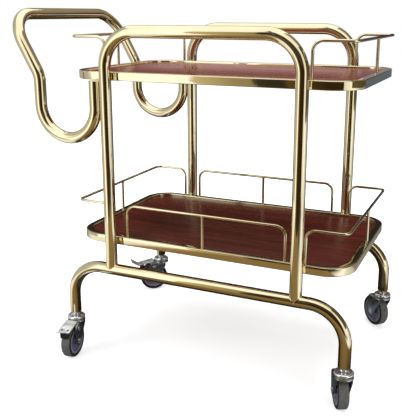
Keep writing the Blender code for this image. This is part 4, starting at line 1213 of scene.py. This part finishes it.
# Each panel's name, corners, ramp along it, ramp up it and tint: white soft boxes at the front left and right,
# a dark camera side between them, dark flags by the right wall and two cards close behind the upper shelf
PANELS = [
    ("left_softbox", wall(LEFT_FRONT, (-0.52, -1.2)), {0: 0.68, 1: 0.70}, EVEN, WHITE),
    ("left_softbox_end", wall(LEFT_BEND, LEFT_FRONT),
     {0: 0.45, 1: 0.67}, {0: 0.42, 0.1: 0.48, 0.3: 0.70, 0.5: 1, 1: 1}, (1, 0.97, 0.90)),
    ("left_wall", wall(REAR_LEFT, LEFT_BEND), {0: 0.2, 1: 0.28}, EVEN, WHITE),
    ("side_flag", wall((-0.52, -1.22), (-0.14, -1.28), 0, 1.1),
     {0: 0.32, 0.48: 0.18, 0.63: 0.17, 0.67: 0.022, 1: 0.018}, {0: 1, 0.85: 1, 1: 3}, (1, 0.84, 0.50)),
    ("camera_flag", wall((-0.14, -1.26), RIGHT_FRONT, 0, 0.86),
     {0: 0.06, 0.1: 0.018, 1: 0.018}, {0: 1, 0.85: 1, 1: 4}, DARK_WARM),
    ("over_side_flag", wall((-0.52, -1.26), (-0.14, -1.3), 1.1),
     {0: 1, 0.6: 1, 0.9: 0.15, 1: 0.1}, {0: 0.6, 1: 0.6}, WHITE),
    ("over_flag", wall((-0.14, -1.3), (1.45, -1.3), 0.86),
     EVEN, {0: 0.02, 0.52: 0.03, 0.70: 0.35, 0.85: 0.64, 1: 0.66}, WHITE),
    ("right_softbox", wall(RIGHT_FRONT, RIGHT_BEND),
     {0: 0.42, 0.4: 0.54, 0.68: 0.64, 0.89: 0.55, 1: 0.45}, {0: 0.8, 0.1: 1, 1: 1}, WHITE),
    ("right_wall", wall(RIGHT_BEND, REAR_RIGHT), {0: 0.45, 0.19: 0.30, 0.4: 0.22, 1: 0.12}, EVEN, WHITE),
    ("right_flag", wall((1.498, -0.44), FLAG_BEND, 0.38),
     {0: 0.085, 0.2: 0.065, 1: 0.055}, FLAG_RAMP, FLAG_WARM),
    ("right_wall_flag", wall(FLAG_BEND, (1.28, 1.7), 0.37), {0: 0.055, 1: 0.04}, FLAG_RAMP, FLAG_WARM),
    ("rear_wall", wall(REAR_RIGHT, REAR_LEFT), EVEN,
     {0: 0.04, 0.3: 0.03, 0.34: 0.014, 0.47: 0.014, 0.55: 0.09, 0.7: 0.14, 0.85: 0.16, 1: 0.16},
     (1, 0.84, 0.62)),
    ("shelf_card", wall((0.24, 0.4), (-0.8, 0.4), 0.642, 0.71),
     {0: 0.9, 0.4: 1, 0.6: 1, 0.75: 0.6, 0.88: 0.12, 1: 0.05}, {0: 0.41, 0.8: 0.41, 1: 0.17}, ROSE),
    ("rim_end_card", wall((0.32, 0.235), (0.222, 0.235), 0.642, 0.70),
     {0: 0.14, 1: 0.14}, EVEN, (1, 0.82, 0.87)),
    ("ceiling", level_card((-1.6, -1.3), (0.45, 1.7), ROOM_HEIGHT),
     EVEN, {0: 0.62, 0.6: 0.66, 1: 0.66}, WHITE),
    ("right_ceiling", level_card((0.45, -1.3), (1.6, 1.7), ROOM_HEIGHT),
     EVEN, {0: 0.62, 0.36: 0.55, 0.5: 0.14, 1: 0.09}, GREY),
    ("left_floor", level_card((-1.6, -1.3), (-0.48, 0.4)),
     {0: 0.45, 0.6: 0.52, 0.9: 0.52, 1: 0.35}, {0: 1, 0.55: 1, 0.72: 0.6, 0.85: 0.35, 1: 0.25}, WHITE),
    ("front_floor", level_card((-0.48, -1.3), (0.60, -0.26)),
     {0: 0.23, 0.15: 0.14, 0.6: 0.14, 1: 0.16}, {0: 1, 0.6: 1, 0.85: 0.75, 1: 0.4}, WARM),
    ("right_floor", level_card((0.60, -1.3), (1.55, 0.4)), {0: 0.3, 0.1: 0.62, 1: 0.62},
     {0: 0.05, 0.18: 0.08, 0.3: 0.35, 0.41: 0.65, 0.53: 1, 0.62: 0.95, 0.68: 0.75, 0.85: 0.6, 1: 0.45}, WHITE),
    # A dark card under the cart that only reflections see: painted shade of the cart on the floor
    ("painted_shade_under_cart", level_card((-0.48, -0.26), (0.60, 0.4)),
     {0: 0.04, 0.2: 0.012, 0.85: 0.012, 1: 0.1}, EVEN, DARK_WARM),
    ("rear_floor", level_card((-1.6, 0.4), (0.3, 1.7)), EVEN, {0: 0.02, 1: 0.02}, DARK_WARM),
    ("rear_right_floor", level_card((0.3, 0.4), (1.55, 1.7)), EVEN, {0: 0.16, 0.4: 0.12, 1: 0.08}, GREY),
    ("rear_right_card", wall((1.3, 1.68), (0.3, 1.5), 0, 0.68), EVEN, {0: 0.07, 1: 0.1}, SLATE),
]

bpy.context.scene.view_settings.view_transform = "Standard"
make_camera()
make_floor()
make_world()
make_lamp("key_lamp", (-1.6, -2.2, 2.2), width=1.8, power=52)
make_lamp("fill_lamp", (2.2, -1.6, 1.6), width=1.6, power=24)
make_lamp("top_lamp", (0, 0.2, 2.6), width=2.2, power=56)
for panel in PANELS:
    make_panel(*panel)
# Cool cards under the casters that only reflections see, each at its own level: painted reflections of the
# floor on the casters' metal
for foot_x, foot_y, level in ((-1, -1, 0.022), (1, -1, 0.04), (-1, 1, 0.06), (1, 1, 0.11)):
    low = (foot_x * FOOT_PLACE - CASTER_CARD_REACH, foot_y * FRAME_PLANE - CASTER_CARD_REACH)
    high = (foot_x * FOOT_PLACE + CASTER_CARD_REACH, foot_y * FRAME_PLANE + CASTER_CARD_REACH)
    make_panel("caster_card", level_card(low, high, CASTER_CARD_HEIGHT), {0: level, 1: level}, EVEN, COOL)

for side, plane in (("front", -FRAME_PLANE), ("rear", FRAME_PLANE)):
    make_hoop("hoop_" + side, plane)
    make_base_arch("base_arch_" + side, plane)
make_push_handle()
for shelf, rim_top in RIM_TOPS.items():
    make_rim(shelf + "_shelf_rim", rim_top)
    make_board(shelf + "_shelf_board", rim_top)
    make_end_rail(shelf + "_left_end_rail", -1, rim_top)
    make_end_rail(shelf + "_right_end_rail", 1, rim_top)
make_side_rail("lower_front_side_rail", -1, RIM_TOPS["lower"])
make_side_rail("lower_rear_side_rail", 1, RIM_TOPS["lower"])
for name, brake in (("front_left", True), ("rear_left", True), ("front_right", False), ("rear_right", False)):
    make_caster(name, brake)
for node, piece in frame["nodes"].items():
    if node.endswith("_bolt"):
        piece.data.materials.clear()
        piece.data.materials.append(zinc)

low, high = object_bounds()
